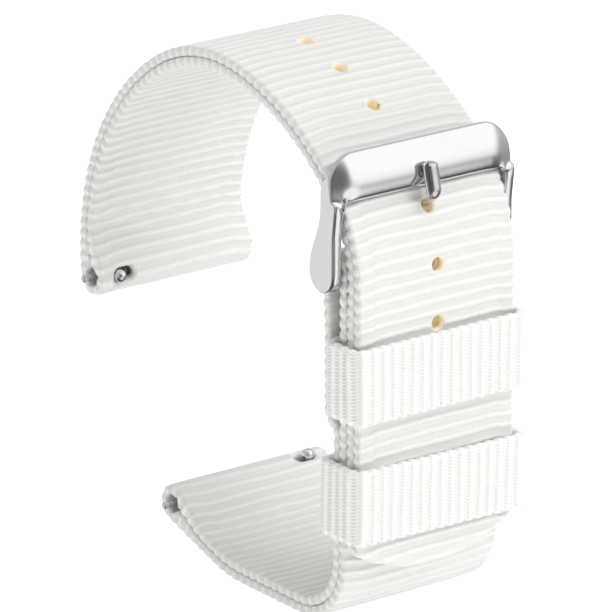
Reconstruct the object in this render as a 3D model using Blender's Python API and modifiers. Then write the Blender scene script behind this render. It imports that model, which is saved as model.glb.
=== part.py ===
"""Nylon watch strap in two halves, buckled into its wrist loop and standing on its lower curve.

X runs across the strap, the buckle faces -Y, the bars that take the watch lie at +Y, and Z = 0 is the
surface that the strap stands on. Lengths are in metres and angles in degrees. A heading is the
direction of a run in the YZ plane, counted from +Z towards +Y.
"""
import math

import bmesh
import bpy
from mathutils import Matrix, Vector

# Webbing
STRAP_WIDTH = 0.0220
LAYER = 0.00115
SEAT_GAP = 0.0003
SWELL_RUN = 0.0070

# Long half, measured along its outer face from the tail's tip to the bar
TAIL_TIP_HEIGHT = 0.0068
BEND_BELOW_BAR = 0.00125
TAIL_TIP_RISE = 0.0036
BUCKLE_BEND_RADIUS = 0.0150
BUCKLE_BEND_TURN = 41.0
SHOULDER_RADIUS = 0.0335
SHOULDER_TURN = 38.5
CROWN_RADIUS = 0.0223
CROWN_TURN = 40.0
BACK_RADIUS = 0.0315
BACK_TURN = 54.0
LUG_TURN = 12.5

# Adjustment holes
HOLE_RADIUS = 0.00095
HOLE_PITCH = 0.0068
HOLES_BELOW_TONGUE = 3
HOLES_ABOVE_TONGUE = 4
TONGUE_HOLE_PAST_BEND = 0.0078

# Short half, measured along its outer face from the buckle's bar to the lower bar
BUCKLE_BAR_HEIGHT = 0.04265
CORNER_RADIUS = 0.0085
FLAT_RUN = 0.0109
HEEL_RADIUS = 0.0200
HEEL_TURN = 18.0
HEEL_RUN = 0.0086
LAYERS_MEET_RUN = 0.0022

# Keepers
KEEPER_LAYER = 0.00105
KEEPER_WIDTH = 0.0088
KEEPER_CORNER_RADIUS = 0.0015
FIXED_KEEPER_DROP = 0.01225

# Sprung bars
TUBE_RADIUS = 0.00075
TUBE_WALL = 0.00015
TUBE_LIP = 0.0003
BAR_GAP = 0.00008
HEAD_RADIUS = 0.00050
TIP_RADIUS = 0.00040
TIP_BEYOND_STRAP = 0.0012
TUBE_INSIDE_STRAP = 0.0008
HEAD_LENGTH = 0.0030
TIP_CHAMFER = 0.00012
WIRE_RADIUS = 0.00010
SPRING_TURNS = 11
RELEASE_TRAVEL = 0.0013

# Quick-release knobs
KNOB_RADIUS = 0.00075
KNOB_NECK_RADIUS = 0.00033
KNOB_FROM_EDGE = 0.0027
KNOB_PROUD = 0.00065
KNOB_OPENING_WIDTH = 0.0020

# Buckle frame
FRAME_SIDE_GAP = 0.0004
ARM_THICKNESS = 0.0013
ARM_END_RADIUS = 0.0023
ARM_NECK_WIDTH = 0.0026
ARM_BEHIND_PLATE = 0.0003
ARM_NECK_RISE = 0.0075
PLATE_HEIGHT = 0.0060
PLATE_THICKNESS = 0.0010
PLATE_TILT = 19.4
PLATE_CROWN = 0.00045
PLATE_CORNER_RADIUS = 0.0036
PLATE_FOOT_RUN = 0.0019
FRAME_EDGE_ROUND = 0.00025
ROUNDED_EDGE_ANGLE = 50.0
ARM_JOIN_SHARE = 0.60
ARM_SHOULDER_SHARE = 1.28
BAR_SOCKET_DEPTH = 0.0008

# Tongue
TONGUE_COLLAR_WALL = 0.0005
TONGUE_COLLAR_WIDTH = 0.0018
TONGUE_SHANK_WIDTH = 0.0009
TONGUE_THICKNESS = 0.0006
TONGUE_HEAD_WIDTH = 0.0019
TONGUE_HEAD_THICKNESS = 0.0012
TONGUE_REACH = 0.0026
TONGUE_STANDOFF = 0.00105
TONGUE_HIGH_IN_HOLE = 0.0003
TONGUE_SLOT_WIDTH = 0.0024

# Facets
ARC_STEP = 6.0
ROUND_STEPS = 16
COIL_POINTS = 8
CUT_OVERRUN = 0.0010

# Sizes that follow from the ones above
THICKNESS = 2 * LAYER
HALF_WIDTH = STRAP_WIDTH / 2
TAIL_RUN = BUCKLE_BAR_HEIGHT - BEND_BELOW_BAR - TAIL_TIP_HEIGHT
TONGUE_HOLE_RUN = TAIL_RUN + TONGUE_HOLE_PAST_BEND
FIXED_KEEPER_HEIGHT = BUCKLE_BAR_HEIGHT - FIXED_KEEPER_DROP
SLOT_RUN = FIXED_KEEPER_DROP + KEEPER_WIDTH / 2 + SEAT_GAP
LAYERS_MEET_HEIGHT = BUCKLE_BAR_HEIGHT - SLOT_RUN - LAYERS_MEET_RUN
FLOATING_KEEPER_HEIGHT = (CORNER_RADIUS + LAYERS_MEET_HEIGHT) / 2
TUNNEL_RADIUS = TUBE_RADIUS + SEAT_GAP
LOOP_RADIUS = TUNNEL_RADIUS + LAYER
KEEPER_SLOT = KEEPER_LAYER + 2 * SEAT_GAP
PARTED_THICKNESS = 2 * LAYER + KEEPER_SLOT
TUBE_BORE = TUBE_RADIUS - TUBE_WALL
SPRING_RADIUS = TUBE_BORE - BAR_GAP - WIRE_RADIUS
ARM_INNER = HALF_WIDTH + FRAME_SIDE_GAP
ARM_OUTER = ARM_INNER + ARM_THICKNESS
RELEASE_TIP_END = HALF_WIDTH + TIP_BEYOND_STRAP
RELEASE_TUBE_END = HALF_WIDTH - TUBE_INSIDE_STRAP
BUCKLE_TIP_END = ARM_INNER + BAR_SOCKET_DEPTH - SEAT_GAP / 2
SIDE_VIEW = Matrix(((0, 0, 1), (1, 0, 0), (0, 1, 0)))


def walk(start, heading, stretches):
    """Stations (run, y, z, heading) along arcs and straights, each given as (length, turn)."""
    y, z = start
    run = 0.0
    stations = [(run, y, z, heading)]
    for length, turn in stretches:
        steps = max(1, math.ceil(abs(turn) / ARC_STEP))
        half = math.radians(turn) / steps / 2
        chord = length / steps * (math.sin(half) / half if half else 1.0)
        for _ in range(steps):
            middle = math.radians(heading) + half
            y += chord * math.sin(middle)
            z += chord * math.cos(middle)
            heading += turn / steps
            run += length / steps
            stations.append((run, y, z, heading))
    return stations


def arc(radius, turn):
    """One stretch of a walk that turns by an angle at a radius."""
    return radius * math.radians(abs(turn)), turn


def station_at(stations, run):
    """The station at a run, between the two that it lies between."""
    for near, far in zip(stations, stations[1:]):
        if run <= far[0]:
            share = (run - near[0]) / (far[0] - near[0])
            return tuple(a + (b - a) * share for a, b in zip(near, far))
    return stations[-1]


def inwards(heading, side):
    """Unit vector (y, z) from the outer face of a strap half towards the wrist."""
    angle = math.radians(heading)
    return side * math.cos(angle), -side * math.sin(angle)


def beneath(station, depth, side):
    """The point a depth under the outer face at a station."""
    y_way, z_way = inwards(station[3], side)
    return station[1] + depth * y_way, station[2] + depth * z_way


def round_points(centre, radius, first, last, steps):
    """Points on a circle in the side view, with angles in degrees from +Y towards +Z."""
    points = []
    for step in range(steps + 1):
        angle = math.radians(first + (last - first) * step / steps)
        points.append((centre[0] + radius * math.cos(angle), centre[1] + radius * math.sin(angle)))
    return points


def circle_points(centre, radius):
    """A closed circle's points in the side view."""
    return round_points(centre, radius, 0.0, 360.0, ROUND_STEPS)[:-1]


def ease(share):
    """Smooth change from 0 to 1 as a share goes from 0 to 1."""
    share = min(1.0, max(0.0, share))
    return (1 - math.cos(math.pi * share)) / 2


def long_path():
    """The long half's outer face, from the tail's tip over the crown to its bar."""
    return walk(
        (0.0, TAIL_TIP_HEIGHT),
        0.0,
        [
            (TAIL_RUN, 0.0),
            arc(BUCKLE_BEND_RADIUS, BUCKLE_BEND_TURN),
            arc(SHOULDER_RADIUS, SHOULDER_TURN),
            arc(CROWN_RADIUS, CROWN_TURN),
            arc(BACK_RADIUS, BACK_TURN),
            arc(BACK_RADIUS, LUG_TURN),
        ],
    )


def short_path():
    """The short half's outer face, from the buckle's bar down and along to its own bar."""
    return walk(
        (THICKNESS + SEAT_GAP, BUCKLE_BAR_HEIGHT),
        180.0,
        [
            (BUCKLE_BAR_HEIGHT - CORNER_RADIUS, 0.0),
            arc(CORNER_RADIUS, -90.0),
            (FLAT_RUN, 0.0),
            arc(HEEL_RADIUS, -HEEL_TURN),
            (HEEL_RUN, 0.0),
        ],
    )


LONG = long_path()
SHORT = short_path()
FRONT = -(SEAT_GAP + KEEPER_LAYER)
BACK = max(station[1] for station in LONG)
# Moves the middle of the strap's depth to Y = 0
CENTRING = -(FRONT + BACK) / 2
LONG = [(run, y + CENTRING, z, heading) for run, y, z, heading in LONG]
SHORT = [(run, y + CENTRING, z, heading) for run, y, z, heading in SHORT]
UPPER_BAR = beneath(LONG[-1], LOOP_RADIUS, 1)
LOWER_BAR = beneath(SHORT[-1], LOOP_RADIUS, -1)
BUCKLE_BAR = beneath(SHORT[0], LOOP_RADIUS, -1)
TAIL_FACE = CENTRING
SHORT_FACE = CENTRING + THICKNESS + SEAT_GAP


def clear_scene():
    """Remove whatever objects the file opened with."""
    for thing in list(bpy.data.objects):
        bpy.data.objects.remove(thing, do_unlink=True)


def new_collection(name):
    """A collection linked under the scene."""
    collection = bpy.data.collections.new(name)
    bpy.context.scene.collection.children.link(collection)
    return collection


def paint(thing, colour, roughness, metallic):
    """Give a piece its own Principled BSDF material."""
    material = bpy.data.materials.new(thing.name + "_finish")
    material.use_nodes = True
    shader = material.node_tree.nodes["Principled BSDF"]
    shader.inputs["Base Color"].default_value = (*colour, 1.0)
    shader.inputs["Roughness"].default_value = roughness
    shader.inputs["Metallic"].default_value = metallic
    thing.data.materials.clear()
    thing.data.materials.append(material)


def paint_webbing(thing):
    """White nylon."""
    paint(thing, (0.86, 0.86, 0.85), 0.75, 0.0)


def paint_steel(thing):
    """Polished stainless steel."""
    paint(thing, (0.74, 0.75, 0.77), 0.14, 1.0)


def placed(matrix, at):
    """A turn and a place as one matrix."""
    return Matrix.Translation(Vector(at)) @ matrix.to_4x4()


def mesh_object(name, mesh, matrix, collection):
    """Put a mesh in the scene as a named object."""
    thing = bpy.data.objects.new(name, mesh)
    thing.matrix_world = matrix
    collection.objects.link(thing)
    return thing


def curve_to_mesh(name, curve, matrix, collection):
    """Turn a curve into a welded mesh object and drop the curve."""
    drawn = bpy.data.objects.new(name + "_outline", curve)
    drawn.matrix_world = matrix
    collection.objects.link(drawn)
    bpy.context.view_layer.update()
    evaluated = drawn.evaluated_get(bpy.context.evaluated_depsgraph_get())
    mesh = bpy.data.meshes.new_from_object(evaluated)
    shape = bmesh.new()
    shape.from_mesh(mesh)
    bmesh.ops.remove_doubles(shape, verts=shape.verts, dist=SEAT_GAP / 100)
    bmesh.ops.recalc_face_normals(shape, faces=shape.faces)
    shape.to_mesh(mesh)
    shape.free()
    bpy.data.objects.remove(drawn, do_unlink=True)
    return mesh_object(name, mesh, matrix, collection)


def add_spline(curve, points, closed):
    """Add straight-sided points to a curve."""
    spline = curve.splines.new("POLY")
    spline.points.add(len(points) - 1)
    for place, point in zip(spline.points, points):
        x, y, *rest = point
        place.co = (x, y, rest[0] if rest else 0.0, 1.0)
    spline.use_cyclic_u = closed


def plate_solid(name, outlines, thickness, matrix, collection):
    """A flat outline, with any holes as further outlines, given a thickness."""
    curve = bpy.data.curves.new(name, "CURVE")
    curve.dimensions = "2D"
    curve.fill_mode = "BOTH"
    curve.extrude = thickness / 2
    for outline in outlines:
        add_spline(curve, outline, True)
    return curve_to_mesh(name, curve, matrix, collection)


def wire_solid(name, points, radius, matrix, collection):
    """A round wire along points."""
    curve = bpy.data.curves.new(name, "CURVE")
    curve.dimensions = "3D"
    curve.bevel_depth = radius
    curve.bevel_resolution = 0
    curve.use_fill_caps = True
    add_spline(curve, points, False)
    return curve_to_mesh(name, curve, matrix, collection)


def turned_solid(name, profile, matrix, collection, closed=False):
    """A turned solid about its local Z, from a profile of (radius, height) run top to bottom."""
    mesh = bpy.data.meshes.new(name)
    edges = [(i, i + 1) for i in range(len(profile) - 1)]
    if closed:
        edges.append((len(profile) - 1, 0))
    mesh.from_pydata([(radius, 0.0, height) for radius, height in profile], edges, [])
    thing = mesh_object(name, mesh, matrix, collection)
    screw = thing.modifiers.new("turn", "SCREW")
    screw.axis = "Z"
    screw.steps = ROUND_STEPS
    screw.render_steps = ROUND_STEPS
    screw.use_merge_vertices = True
    screw.merge_threshold = SEAT_GAP / 100
    screw.use_smooth_shade = True
    return thing


def combine(thing, other, operation):
    """A Boolean modifier, with the other object kept as a wire guide."""
    boolean = thing.modifiers.new(operation.lower(), "BOOLEAN")
    boolean.operation = operation
    boolean.solver = "EXACT"
    boolean.object = other
    other.hide_render = True
    other.display_type = "WIRE"


def outer_and_inner(stations, depths, side):
    """The outer face's points one way and the inner face's the other way."""
    outer = [(station[1], station[2]) for station in stations]
    inner = [beneath(station, depth, side) for station, depth in zip(stations, depths)]
    return outer, inner[::-1]


def lug_depths(stations):
    """Thickness at each station, growing into the fold round the bar at the last one."""
    end = stations[-1][0]
    depths = []
    for station in stations:
        share = 1 - (end - station[0]) / SWELL_RUN
        depths.append(THICKNESS + (2 * LOOP_RADIUS - THICKNESS) * ease(share))
    return depths


def finer(stations, first, last, step):
    """The stations with more of them between two runs."""
    count = max(1, math.ceil((last - first) / step))
    added = [station_at(stations, first + (last - first) * i / count) for i in range(count + 1)]
    kept = [s for s in stations if s[0] < first - step / 4 or s[0] > last + step / 4]
    return sorted(kept + added)


def fold_points(centre, heading, side):
    """The round end of a fold: from the outer face, past the end of the run, to the inner face."""
    start = math.degrees(math.atan2(*reversed(inwards(heading, -side))))
    return round_points(centre, LOOP_RADIUS, start, start - side * 180.0, ROUND_STEPS // 2)[1:-1]


def knob_frame(centre, heading, side):
    """Turn whose local Z points from a bar towards the wrist and whose local X runs across."""
    y_way, z_way = inwards(heading, side)
    across = Vector((1, 0, 0))
    out = Vector((0, y_way, z_way))
    turn = Matrix((across, out.cross(across), out)).transposed()
    return placed(turn, (0, *centre))


def stadium(length, width):
    """A slot's outline with round ends, along X about its middle."""
    reach = (length - width) / 2
    right = round_points((reach, 0.0), width / 2, -90.0, 90.0, ROUND_STEPS // 2)
    left = round_points((-reach, 0.0), width / 2, 90.0, 270.0, ROUND_STEPS // 2)
    return right + left


def knob_place(hand):
    """Where a knob stands across the strap."""
    return hand * (HALF_WIDTH - KNOB_FROM_EDGE)


def travel_slot(name, radius_about_neck, first_depth, last_depth, frame, hand, cutters):
    """A cutter over the knob's travel, between two distances from the bar's axis."""
    length = RELEASE_TRAVEL + 2 * radius_about_neck
    middle = knob_place(hand) - hand * RELEASE_TRAVEL / 2
    at = Matrix.Translation(Vector((middle, 0.0, (first_depth + last_depth) / 2)))
    outline = stadium(length, 2 * radius_about_neck)
    return plate_solid(name, [outline], last_depth - first_depth, frame @ at, cutters)


def make_long_strap(parts, cutters):
    """The long half: bonded double webbing, folded round its bar."""
    end = LONG[-1][0]
    stations = finer(LONG, end - SWELL_RUN, end, SWELL_RUN / ARC_STEP)
    outer, inner = outer_and_inner(stations, lug_depths(stations), 1)
    outline = outer + fold_points(UPPER_BAR, LONG[-1][3], 1) + inner
    tunnel = circle_points(UPPER_BAR, TUNNEL_RADIUS)
    strap = plate_solid("long_strap", [outline, tunnel], STRAP_WIDTH, SIDE_VIEW.to_4x4(), parts)
    combine(strap, tip_cutter(cutters), "DIFFERENCE")
    for index in range(-HOLES_BELOW_TONGUE, HOLES_ABOVE_TONGUE + 1):
        combine(strap, hole_cutter(index, cutters), "DIFFERENCE")
    frame = knob_frame(UPPER_BAR, LONG[-1][3], 1)
    opening = travel_slot(
        "upper_knob_opening", KNOB_OPENING_WIDTH / 2, 0.0, LOOP_RADIUS + CUT_OVERRUN, frame, -1, cutters
    )
    combine(strap, opening, "DIFFERENCE")
    paint_webbing(strap)


def tip_cutter(cutters):
    """What is trimmed off the tail to round its tip."""
    radius = (HALF_WIDTH**2 + TAIL_TIP_RISE**2) / (2 * TAIL_TIP_RISE)
    centre = (0.0, TAIL_TIP_HEIGHT + radius)
    reach = math.degrees(math.asin((HALF_WIDTH + CUT_OVERRUN) / radius))
    curve = round_points(centre, radius, -90.0 - reach, -90.0 + reach, ROUND_STEPS)
    below = TAIL_TIP_HEIGHT - CUT_OVERRUN
    outline = curve + [(curve[-1][0], below), (curve[0][0], below)]
    turn = Matrix(((1, 0, 0), (0, 0, -1), (0, 1, 0)))
    at = (0.0, TAIL_FACE + THICKNESS / 2, 0.0)
    return plate_solid("tip_trim", [outline], THICKNESS + SEAT_GAP, placed(turn, at), cutters)


def hole_cutter(index, cutters):
    """A round cutter square to the webbing, counted from the tongue's hole."""
    station = station_at(LONG, TONGUE_HOLE_RUN + index * HOLE_PITCH)
    middle = beneath(station, THICKNESS / 2, 1)
    y_way, z_way = inwards(station[3], 1)
    turn = Vector((0, y_way, z_way)).to_track_quat("Z", "X").to_matrix()
    height = THICKNESS / 2 + CUT_OVERRUN
    profile = [(0.0, height), (HOLE_RADIUS, height), (HOLE_RADIUS, -height), (0.0, -height)]
    return turned_solid("hole_cut_%d" % index, profile, placed(turn, (0, *middle)), cutters)


def short_depths(stations):
    """Thickness along the short half: parted at the keeper, bonded below, folded at both bars."""
    depths = []
    for station, lug in zip(stations, lug_depths(stations)):
        if station[0] <= SLOT_RUN:
            share = station[0] / (FIXED_KEEPER_DROP - KEEPER_WIDTH / 2)
            depths.append(2 * LOOP_RADIUS - (2 * LOOP_RADIUS - PARTED_THICKNESS) * ease(share))
        else:
            share = (station[0] - SLOT_RUN) / LAYERS_MEET_RUN
            depths.append(lug + (PARTED_THICKNESS - lug) * (1 - ease(share)))
    return depths


def make_short_strap(parts, cutters):
    """The short half: a loop of webbing with its layers parted round the keeper's back."""
    end = SHORT[-1][0]
    stations = finer(SHORT, 0.0, SLOT_RUN, SLOT_RUN / 4)
    stations = finer(stations, SLOT_RUN, SLOT_RUN + LAYERS_MEET_RUN, LAYERS_MEET_RUN / 4)
    stations = finer(stations, end - SWELL_RUN, end, SWELL_RUN / ARC_STEP)
    depths = short_depths(stations)
    outer, inner = outer_and_inner(stations, depths, -1)
    over_bar = round_points(BUCKLE_BAR, LOOP_RADIUS, 0.0, 180.0, ROUND_STEPS // 2)[1:-1]
    outline = outer + fold_points(LOWER_BAR, SHORT[-1][3], -1) + inner + over_bar
    lower_tunnel = circle_points(LOWER_BAR, TUNNEL_RADIUS)
    parted = [(s, d) for s, d in zip(stations, depths) if s[0] <= SLOT_RUN]
    front = [beneath(s, LAYER, -1) for s, d in parted]
    back = [beneath(s, d - LAYER, -1) for s, d in parted]
    cap = round_points(BUCKLE_BAR, TUNNEL_RADIUS, 0.0, 180.0, ROUND_STEPS // 2)[1:-1]
    pocket = front + back[::-1] + cap
    loops = [outline, pocket, lower_tunnel]
    strap = plate_solid("short_strap", loops, STRAP_WIDTH, SIDE_VIEW.to_4x4(), parts)
    combine(strap, tongue_slot(cutters), "DIFFERENCE")
    frame = knob_frame(LOWER_BAR, SHORT[-1][3], -1)
    opening = travel_slot(
        "lower_knob_opening", KNOB_OPENING_WIDTH / 2, 0.0, LOOP_RADIUS + CUT_OVERRUN, frame, 1, cutters
    )
    combine(strap, opening, "DIFFERENCE")
    paint_webbing(strap)


def tongue_slot(cutters):
    """The notch in the fold that leaves room for the tongue's collar."""
    drop = TUBE_RADIUS + 2 * SEAT_GAP + TONGUE_COLLAR_WALL
    rise = LOOP_RADIUS + CUT_OVERRUN
    outline = stadium(drop + rise + TONGUE_SLOT_WIDTH / 2, TONGUE_SLOT_WIDTH)
    turn = Matrix(((0, 1, 0), (0, 0, 1), (1, 0, 0)))
    at = (0.0, BUCKLE_BAR[0], BUCKLE_BAR[1] + (rise + TONGUE_SLOT_WIDTH / 2 - drop) / 2)
    return plate_solid("tongue_slot", [outline], 2 * rise, placed(turn, at), cutters)


def rounded_box(low, high, radius):
    """A rectangle's outline with round corners."""
    quarter = ROUND_STEPS // 4
    points = round_points((high[0] - radius, high[1] - radius), radius, 0.0, 90.0, quarter)
    points += round_points((low[0] + radius, high[1] - radius), radius, 90.0, 180.0, quarter)
    points += round_points((low[0] + radius, low[1] + radius), radius, 180.0, 270.0, quarter)
    points += round_points((high[0] - radius, low[1] + radius), radius, 270.0, 360.0, quarter)
    return points


def make_keeper(name, height, back_face, parts):
    """A loop of webbing round the strap, with its back's outer face at a given depth."""
    inner_half = HALF_WIDTH + SEAT_GAP
    outer_half = inner_half + KEEPER_LAYER
    front_face = TAIL_FACE - SEAT_GAP - KEEPER_LAYER
    middle = (front_face + back_face) / 2
    reach = (back_face - front_face) / 2
    outer = rounded_box((-outer_half, -reach), (outer_half, reach), KEEPER_CORNER_RADIUS)
    inner_reach = reach - KEEPER_LAYER
    inner_radius = KEEPER_CORNER_RADIUS - KEEPER_LAYER
    inner = rounded_box((-inner_half, -inner_reach), (inner_half, inner_reach), inner_radius)
    at = placed(Matrix.Identity(3), (0.0, middle, height))
    keeper = plate_solid(name, [outer, inner], KEEPER_WIDTH, at, parts)
    paint_webbing(keeper)


def plate_frame():
    """The plate's foot and its directions up and out, as (y, z) pairs."""
    station = station_at(LONG, TONGUE_HOLE_RUN + PLATE_FOOT_RUN)
    foot = beneath(station, -(SEAT_GAP + PLATE_THICKNESS), 1)
    tilt = math.radians(PLATE_TILT)
    up = (math.sin(tilt), math.cos(tilt))
    out = (-math.cos(tilt), math.sin(tilt))
    return foot, up, out


def along(point, *moves):
    """A point moved by (direction, distance) pairs."""
    y, z = point
    for way, distance in moves:
        y += way[0] * distance
        z += way[1] * distance
    return y, z


def crown(share):
    """How far the plate's face stands out of its chord at a share of its height."""
    return PLATE_CROWN * math.sin(math.pi * share)


def frame_outline():
    """The buckle seen from the side, run on above the plate's top and below its foot."""
    foot, up, out = plate_frame()
    face_steps = ROUND_STEPS // 2
    face = []
    for step in range(-1, face_steps + 2):
        share = step / face_steps
        face.append(along(foot, (up, PLATE_HEIGHT * share), (out, crown(share))))
    behind = -(PLATE_THICKNESS + ARM_BEHIND_PLATE)
    top_back = along(foot, (up, PLATE_HEIGHT * (face_steps + 1) / face_steps), (out, behind))
    join = along(foot, (up, PLATE_HEIGHT * ARM_JOIN_SHARE), (out, behind))
    y, z = BUCKLE_BAR
    shoulder = (y - ARM_END_RADIUS + ARM_NECK_WIDTH, z + ARM_NECK_RISE * ARM_SHOULDER_SHARE)
    back = []
    for step in range(face_steps + 1):
        share = 1 - step / face_steps
        reach = ARM_END_RADIUS - (2 * ARM_END_RADIUS - ARM_NECK_WIDTH) * ease(share)
        back.append((y + reach, z + ARM_NECK_RISE * share))
    end = round_points(BUCKLE_BAR, ARM_END_RADIUS, 0.0, -180.0, ROUND_STEPS // 2)[1:]
    front = [(y - ARM_END_RADIUS, z + ARM_NECK_RISE * ARM_JOIN_SHARE)]
    return face + [top_back, join, shoulder] + back + end + front


def from_bar(points):
    """Points of the side view, counted from the buckle's bar."""
    return [(y - BUCKLE_BAR[0], z - BUCKLE_BAR[1]) for y, z in points]


def make_buckle_frame(parts, cutters):
    """The frame: its side view run across, with the front's corners rounded and its inside cut out."""
    foot, up, out = plate_frame()
    bar = placed(SIDE_VIEW, (0.0, *BUCKLE_BAR))
    wide = 2 * (ARM_OUTER + CUT_OVERRUN)
    frame = plate_solid("buckle_frame", [from_bar(frame_outline())], wide, bar, parts)
    face = Matrix((Vector((1, 0, 0)), Vector((0, *up)), Vector((0, *[-way for way in out])))).transposed()
    deep = 2 * (PLATE_HEIGHT + ARM_NECK_RISE)
    low = -(ARM_NECK_RISE + 2 * ARM_END_RADIUS + PLATE_HEIGHT)
    radius = PLATE_CORNER_RADIUS
    window = rounded_box((-ARM_OUTER, low), (ARM_OUTER, PLATE_HEIGHT), radius)
    front = plate_solid("front_view", [window], deep, placed(face, (0.0, *foot)), cutters)
    combine(frame, front, "INTERSECT")
    rounding = frame.modifiers.new("rounding", "BEVEL")
    rounding.width = FRAME_EDGE_ROUND
    rounding.segments = 1
    rounding.limit_method = "ANGLE"
    rounding.angle_limit = math.radians(ROUNDED_EDGE_ANGLE)
    behind = along(foot, (out, -PLATE_THICKNESS - deep / 2))
    for name, high, middle in (("frame_inside", 2 * PLATE_HEIGHT, behind), ("below_plate", 0.0, foot)):
        block = rounded_box((-ARM_INNER, 2 * low), (ARM_INNER, high), SEAT_GAP)
        room = plate_solid(name, [block], deep, placed(face, (0.0, *middle)), cutters)
        combine(frame, room, "DIFFERENCE")
    sockets = bar_cutter("bar_sockets", TIP_RADIUS + 2 * BAR_GAP, ARM_INNER + BAR_SOCKET_DEPTH, cutters)
    combine(frame, sockets, "DIFFERENCE")
    paint_steel(frame)


def bar_cutter(name, radius, reach, cutters):
    """A round cutter along the buckle's bar."""
    profile = [(0.0, reach), (radius, reach), (radius, -reach), (0.0, -reach)]
    return turned_solid(name, profile, across(BUCKLE_BAR), cutters)


def across(centre):
    """Matrix that lays a turned piece's axis along X at a point of the side view."""
    turn = Matrix(((0, 0, 1), (0, 1, 0), (-1, 0, 0)))
    return placed(turn, (0.0, *centre))


def tongue_line():
    """Where the tongue's middle runs in the side view, from its collar to its tip."""
    station = station_at(LONG, TONGUE_HOLE_RUN)
    way_in = inwards(station[3], 1)
    ahead = (way_in[1] * -1, way_in[0])
    start = along(BUCKLE_BAR, ((0.0, 1.0), TUBE_RADIUS + SEAT_GAP + TONGUE_COLLAR_WALL / 2))
    through = along((station[1], station[2]), (ahead, TONGUE_HIGH_IN_HOLE))
    behind = along(through, (way_in, THICKNESS + TONGUE_STANDOFF))
    foot, up, out = plate_frame()
    beside = along(foot, (out, SEAT_GAP + TONGUE_THICKNESS / 2))
    bend = crossing(through, way_in, beside, up)
    share = TONGUE_REACH / PLATE_HEIGHT
    lift = crown(share) + SEAT_GAP + TONGUE_THICKNESS / 2
    tip = along(foot, (up, TONGUE_REACH), (out, lift))
    middle = along(foot, (up, TONGUE_REACH / 2), (out, crown(share / 2) + SEAT_GAP + TONGUE_THICKNESS / 2))
    return [start, behind, bend, middle, tip]


def crossing(first, first_way, second, second_way):
    """Where two lines of the side view cross."""
    turn = first_way[0] * second_way[1] - first_way[1] * second_way[0]
    gap = (second[0] - first[0], second[1] - first[1])
    distance = (gap[0] * second_way[1] - gap[1] * second_way[0]) / turn
    return along(first, (first_way, distance))


def tongue_sections():
    """Sections of the tongue: middle, half width, and depths towards the plate and away from it."""
    line = tongue_line()
    thin = TONGUE_THICKNESS / 2
    proud = TONGUE_HEAD_THICKNESS - thin
    narrow = TONGUE_SHANK_WIDTH / 2
    wide = TONGUE_HEAD_WIDTH / 2
    shares = [0.0, 0.0, 0.25, 1.0, 1.0]
    sections = []
    for index, point in enumerate(line):
        before = line[max(0, index - 1)]
        after = line[min(len(line) - 1, index + 1)]
        way = Vector((after[0] - before[0], after[1] - before[1])).normalized()
        left = Vector((-way[1], way[0]))
        share = shares[index]
        outer = thin + (proud - thin) * share
        half = narrow + (wide - narrow) * share
        sections.append((point, left, thin, outer, half))
    return sections


def make_tongue(parts, cutters):
    """The tongue: a bar bent through the hole on to the plate, with a collar about the buckle's bar."""
    shape = bmesh.new()
    rings = []
    for point, left, inner, outer, half in tongue_sections():
        front = Vector((point[0] - BUCKLE_BAR[0], point[1] - BUCKLE_BAR[1])) + left * outer
        back = Vector((point[0] - BUCKLE_BAR[0], point[1] - BUCKLE_BAR[1])) - left * inner
        corners = [(half, *front), (-half, *front), (-half, *back), (half, *back)]
        rings.append([shape.verts.new(corner) for corner in corners])
    for low, high in zip(rings, rings[1:]):
        for index in range(4):
            after = (index + 1) % 4
            shape.faces.new((low[index], low[after], high[after], high[index]))
    shape.faces.new(rings[0][::-1])
    shape.faces.new(rings[-1])
    bmesh.ops.recalc_face_normals(shape, faces=shape.faces)
    mesh = bpy.data.meshes.new("buckle_tongue")
    shape.to_mesh(mesh)
    shape.free()
    at = Matrix.Translation(Vector((0.0, *BUCKLE_BAR)))
    tongue = mesh_object("buckle_tongue", mesh, at, parts)
    bore = TUBE_RADIUS + SEAT_GAP
    outer = bore + TONGUE_COLLAR_WALL
    reach = TONGUE_COLLAR_WIDTH / 2
    profile = [(bore, reach), (outer, reach), (outer, -reach), (bore, -reach)]
    collar = turned_solid("tongue_collar", profile, across(BUCKLE_BAR), cutters, closed=True)
    combine(tongue, collar, "UNION")
    paint_steel(tongue)


def tube_profile(end):
    """A bar's tube, open through both ends, which are drawn in a little."""
    mouth = TIP_RADIUS + BAR_GAP
    bend = end - TUBE_LIP
    return [
        (mouth, end),
        (TUBE_RADIUS - TUBE_WALL / 2, end),
        (TUBE_RADIUS, end - TUBE_WALL),
        (TUBE_RADIUS, -end + TUBE_WALL),
        (TUBE_RADIUS - TUBE_WALL / 2, -end),
        (mouth, -end),
        (mouth, -bend),
        (TUBE_BORE, -bend),
        (TUBE_BORE, bend),
        (mouth, bend),
    ]


def tip_profile(tip_end, tube_end):
    """A stepped tip with its head inside the tube, along +Z."""
    head_top = tube_end - TUBE_LIP - BAR_GAP
    return [
        (0.0, tip_end),
        (TIP_RADIUS - TIP_CHAMFER, tip_end),
        (TIP_RADIUS, tip_end - TIP_CHAMFER),
        (TIP_RADIUS, head_top),
        (HEAD_RADIUS, head_top),
        (HEAD_RADIUS, head_top - HEAD_LENGTH),
        (0.0, head_top - HEAD_LENGTH),
    ]


def make_tip(name, centre, tip_end, tube_end, hand, parts):
    """One tip of a bar, towards +X for hand 1 and -X for hand -1."""
    turn = Matrix(((0, 0, hand), (0, 1, 0), (-hand, 0, 0)))
    tip = turned_solid(name, tip_profile(tip_end, tube_end), placed(turn, (0.0, *centre)), parts)
    paint_steel(tip)


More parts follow.
